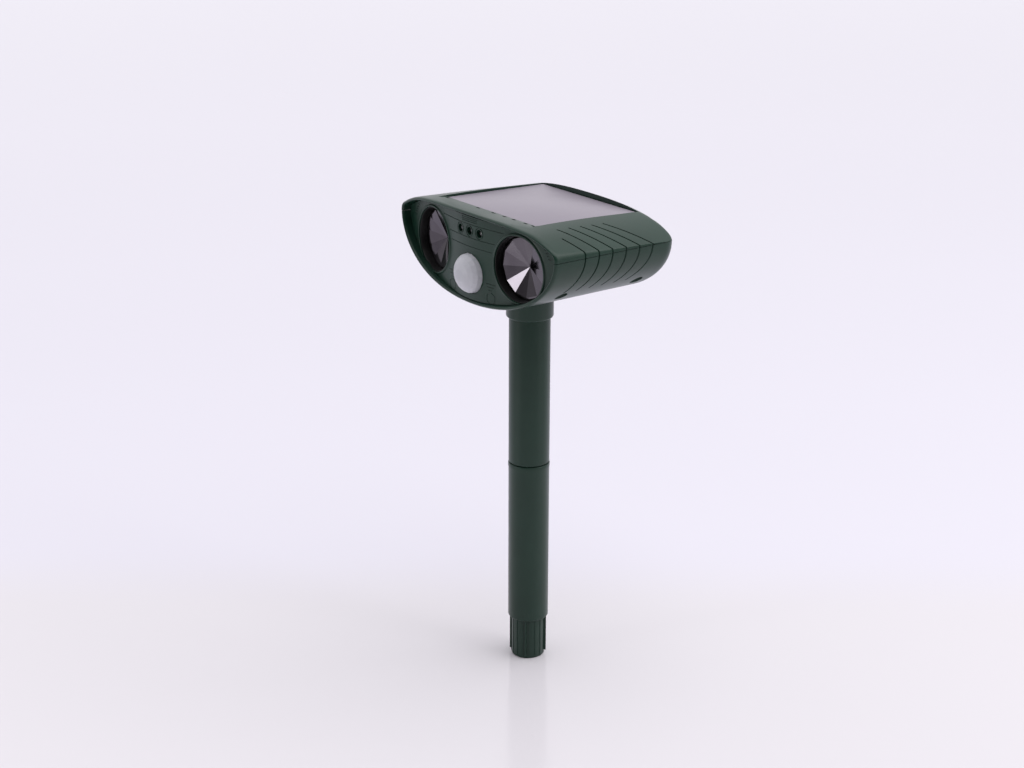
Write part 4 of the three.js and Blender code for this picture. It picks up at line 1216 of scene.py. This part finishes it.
def rechargeable_cell():
    low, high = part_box("battery_cell")
    radius = (high.y - low.y) / 2
    length = high.x - low.x
    edge = radius - CELL_ROUND
    neck = radius - 0.6 * MM
    outline = [(0, 0), (edge, 0)] + arc(edge, CELL_ROUND, CELL_ROUND, -90, 0, 4)[1:]
    outline += [(radius, length - 5 * MM), (neck, length - 4.6 * MM)]
    outline += [(neck, length - 4.0 * MM), (radius, length - 3.6 * MM)]
    outline += arc(edge, length - 2.3 * MM, CELL_ROUND, 0, 90, 4)
    outline += [(3.2 * MM, length - 1.5 * MM), (3 * MM, length - 0.3 * MM), (2.7 * MM, length), (0, length)]
    cell = spun("rechargeable_cell", outline, 64)
    place = Matrix.Translation((low.x, (low.y + high.y) / 2, (low.z + high.z) / 2))
    cell.data.transform(place @ Matrix.Rotation(math.pi / 2, 4, "Y"))
    smooth_with_sharp_edges(cell, 35)
    return cell


cell = rechargeable_cell()
cell_sleeve = noise_moulding("cell_sleeve", (0.02, 0.10, 0.22), (0.03, 0.13, 0.27), 0.30, 0.1, 400)
cell.data.materials.append(cell_sleeve)
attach(cell, "head")
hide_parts("battery_cell")
paint("battery_contact_left", nickel)
paint("battery_contact_right", nickel)
inner_black = noise_moulding("inner_black", (0.010, 0.010, 0.011), (0.016, 0.016, 0.017), 0.5, 0.5, 1600)
paint("battery_holder", inner_black)


# ---------- battery door ----------
# A moulded hatch that follows the belly of the lower shell, held by two sunk screws. It has three
# thumb grooves across its rear edge and a round pad under each screw head.

DOOR_SKIN = 2.0 * MM
DOOR_LID_Z = DOOR_TOP_Z - PARTING_GAP
THUMB_HALF = 9.0 * MM
THUMB_GROOVE = 0.45 * MM


def battery_hatch():
    hatch = casing_core("battery_hatch", 0.0, 0.0)
    cut(hatch, casing_core("hatch_inside", DOOR_SKIN, CORE_REACH))
    blank = block("blank", (DOOR_LOW.x, DOOR_LOW.y, UNDER_Z), (DOOR_HIGH.x, DOOR_HIGH.y, DOOR_LID_Z))
    trim(hatch, soften(blank, 1.2 * MM, 4, least=MM))
    for spot in DOOR_SPOTS:
        pad = upright("pad", 3.6 * MM, spot, BELLY_Z, DOOR_LID_Z)
        trim(pad, casing_core("pad_limit", 0.3 * MM, 0.0))
        add(hatch, pad)
        cut(hatch, upright("hole", 1.5 * MM, spot, UNDER_Z, BELLY_Z + 31 * MM, 24))
        cut(hatch, upright("sink", 2.7 * MM, spot, UNDER_Z, DOOR_SEAT_Z, 32))
    for i in range(3):
        y = DOOR_HIGH.y - (3 + 2.2 * i) * MM
        low = (-THUMB_HALF, y - THUMB_GROOVE, UNDER_Z)
        high = (THUMB_HALF, y + THUMB_GROOVE, BELLY_Z + 0.9 * MM)
        cut(hatch, block("groove", low, high))
    smooth_with_sharp_edges(hatch, SHARP_TURN)
    return hatch


hatch = battery_hatch()
hatch.data.materials.append(casing_green)
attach(hatch, "battery_door")
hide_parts("battery_door")


# ---------- mode knob ----------
# A black moulded knob with a grip blade and a pointer groove, pressed on the shaft of a rotary switch
# that stands behind the rear wall.

KNOB_SHAFT = 3.0 * MM
KNOB_FLUTES = 28


def mode_dial():
    radius = (KNOB_HIGH.x - KNOB_LOW.x) / 2
    foot = REAR_Y + PARTING_GAP
    height = KNOB_HIGH.y - foot
    shaft_end = KNOB_LOW.y - foot
    outline = [(0, shaft_end), (KNOB_SHAFT, shaft_end), (KNOB_SHAFT, 0)]
    outline += [(radius - 0.3 * MM, 0), (radius, 0.3 * MM)]
    outline += arc(radius - 0.75 * MM, 1.4 * MM, 0.6 * MM, 0, 90, 5)
    outline += [(0, 2 * MM)]
    dial = spun("mode_dial", outline, 96)
    blade = block("grip", (-2 * MM, -radius + 0.8 * MM, 1.5 * MM), (2 * MM, radius - 0.8 * MM, height))
    add(dial, soften(blade, 0.5 * MM))
    pointer = block("pointer", (-0.4 * MM, MM, height - 0.6 * MM), (0.4 * MM, radius, height + MM))
    cut(dial, pointer)
    for i in range(KNOB_FLUTES):
        flute = upright("flute", 0.28 * MM, (radius, 0), 0.5 * MM, 3 * MM, 12)
        flute.data.transform(Matrix.Rotation(2 * math.pi * i / KNOB_FLUTES, 4, "Z"))
        cut(dial, flute)
    turn = Matrix.Rotation(-math.pi / 2, 4, "X") @ Matrix.Rotation(math.pi, 4, "Z")
    dial.data.transform(Matrix.Translation((KNOB_X, foot, CONTROL_Z)) @ turn)
    smooth_with_sharp_edges(dial, 35)
    return dial


knob_black = noise_moulding("knob_black", (0.009, 0.009, 0.010), (0.015, 0.015, 0.016), 0.42, 0.4, 1500)
dial = mode_dial()
dial.data.materials.append(knob_black)
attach(dial, "mode_knob")
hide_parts("mode_knob")
paint("mode_dial_body", sounder_grey)


# ---------- power switch ----------
# A small black moulded slide with four grip ribs, which stands out of a slot in the rear wall. It
# moves the contacts of a slide switch behind the wall.

slide = soften(block("switch_slide", SWITCH_LOW, SWITCH_HIGH), 0.35 * MM)
for i in range(3):
    x = SWITCH_LOW.x + (1.05 + 0.95 * i) * MM
    low = (x - 0.2 * MM, SWITCH_HIGH.y - 0.6 * MM, UNDER_Z)
    high = (x + 0.2 * MM, SWITCH_HIGH.y + MM, CROWN_Z)
    cut(slide, block("rib_gap", low, high))
smooth_with_sharp_edges(slide, 35)
slide.data.materials.append(knob_black)
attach(slide, "power_switch")
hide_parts("power_switch")
paint("power_switch_body", sounder_grey)


# ---------- charging port and its cover ----------
# A plated socket behind the rear wall, closed by a soft black flap with a plug and a pull tab.
# The flap swings up about its upper edge.

PORT_COVER_LOW, PORT_COVER_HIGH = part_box("port_cover")
TAB_HALF = 3.0 * MM

flap_back = REAR_Y + PARTING_GAP
flap_front = PORT_COVER_HIGH.y - MM
low = (PORT_COVER_LOW.x, flap_back, PORT_COVER_LOW.z + 2 * MM)
cover = block("port_flap", low, (PORT_COVER_HIGH.x, flap_front, PORT_COVER_HIGH.z))
soften(cover, 0.6 * MM)
low = (-TAB_HALF, flap_back + 0.6 * MM, PORT_COVER_LOW.z)
high = (TAB_HALF, PORT_COVER_HIGH.y, PORT_COVER_LOW.z + 3.5 * MM)
add(cover, soften(block("tab", low, high), 0.4 * MM))
low = (PORT_LOW.x + 0.4 * MM, PORT_COVER_LOW.y, PORT_LOW.z + 0.3 * MM)
high = (PORT_HIGH.x - 0.4 * MM, REAR_Y + 0.8 * MM, PORT_HIGH.z - 0.6 * MM)
add(cover, soften(block("plug", low, high), 0.2 * MM))
for i in range(2):
    z = PORT_COVER_HIGH.z - (1.6 + 1.1 * i) * MM
    low = (PORT_COVER_LOW.x - MM, flap_front - 0.35 * MM, z - 0.2 * MM)
    high = (PORT_COVER_HIGH.x + MM, PORT_COVER_HIGH.y + MM, z + 0.2 * MM)
    cut(cover, block("crease", low, high))
smooth_with_sharp_edges(cover, 35)
soft_rubber = noise_moulding("soft_rubber", (0.010, 0.010, 0.010), (0.020, 0.020, 0.020), 0.7, 0.6, 1200)
cover.data.materials.append(soft_rubber)
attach(cover, "port_cover")
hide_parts("port_cover")
paint("charging_port", nickel)

low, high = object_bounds()
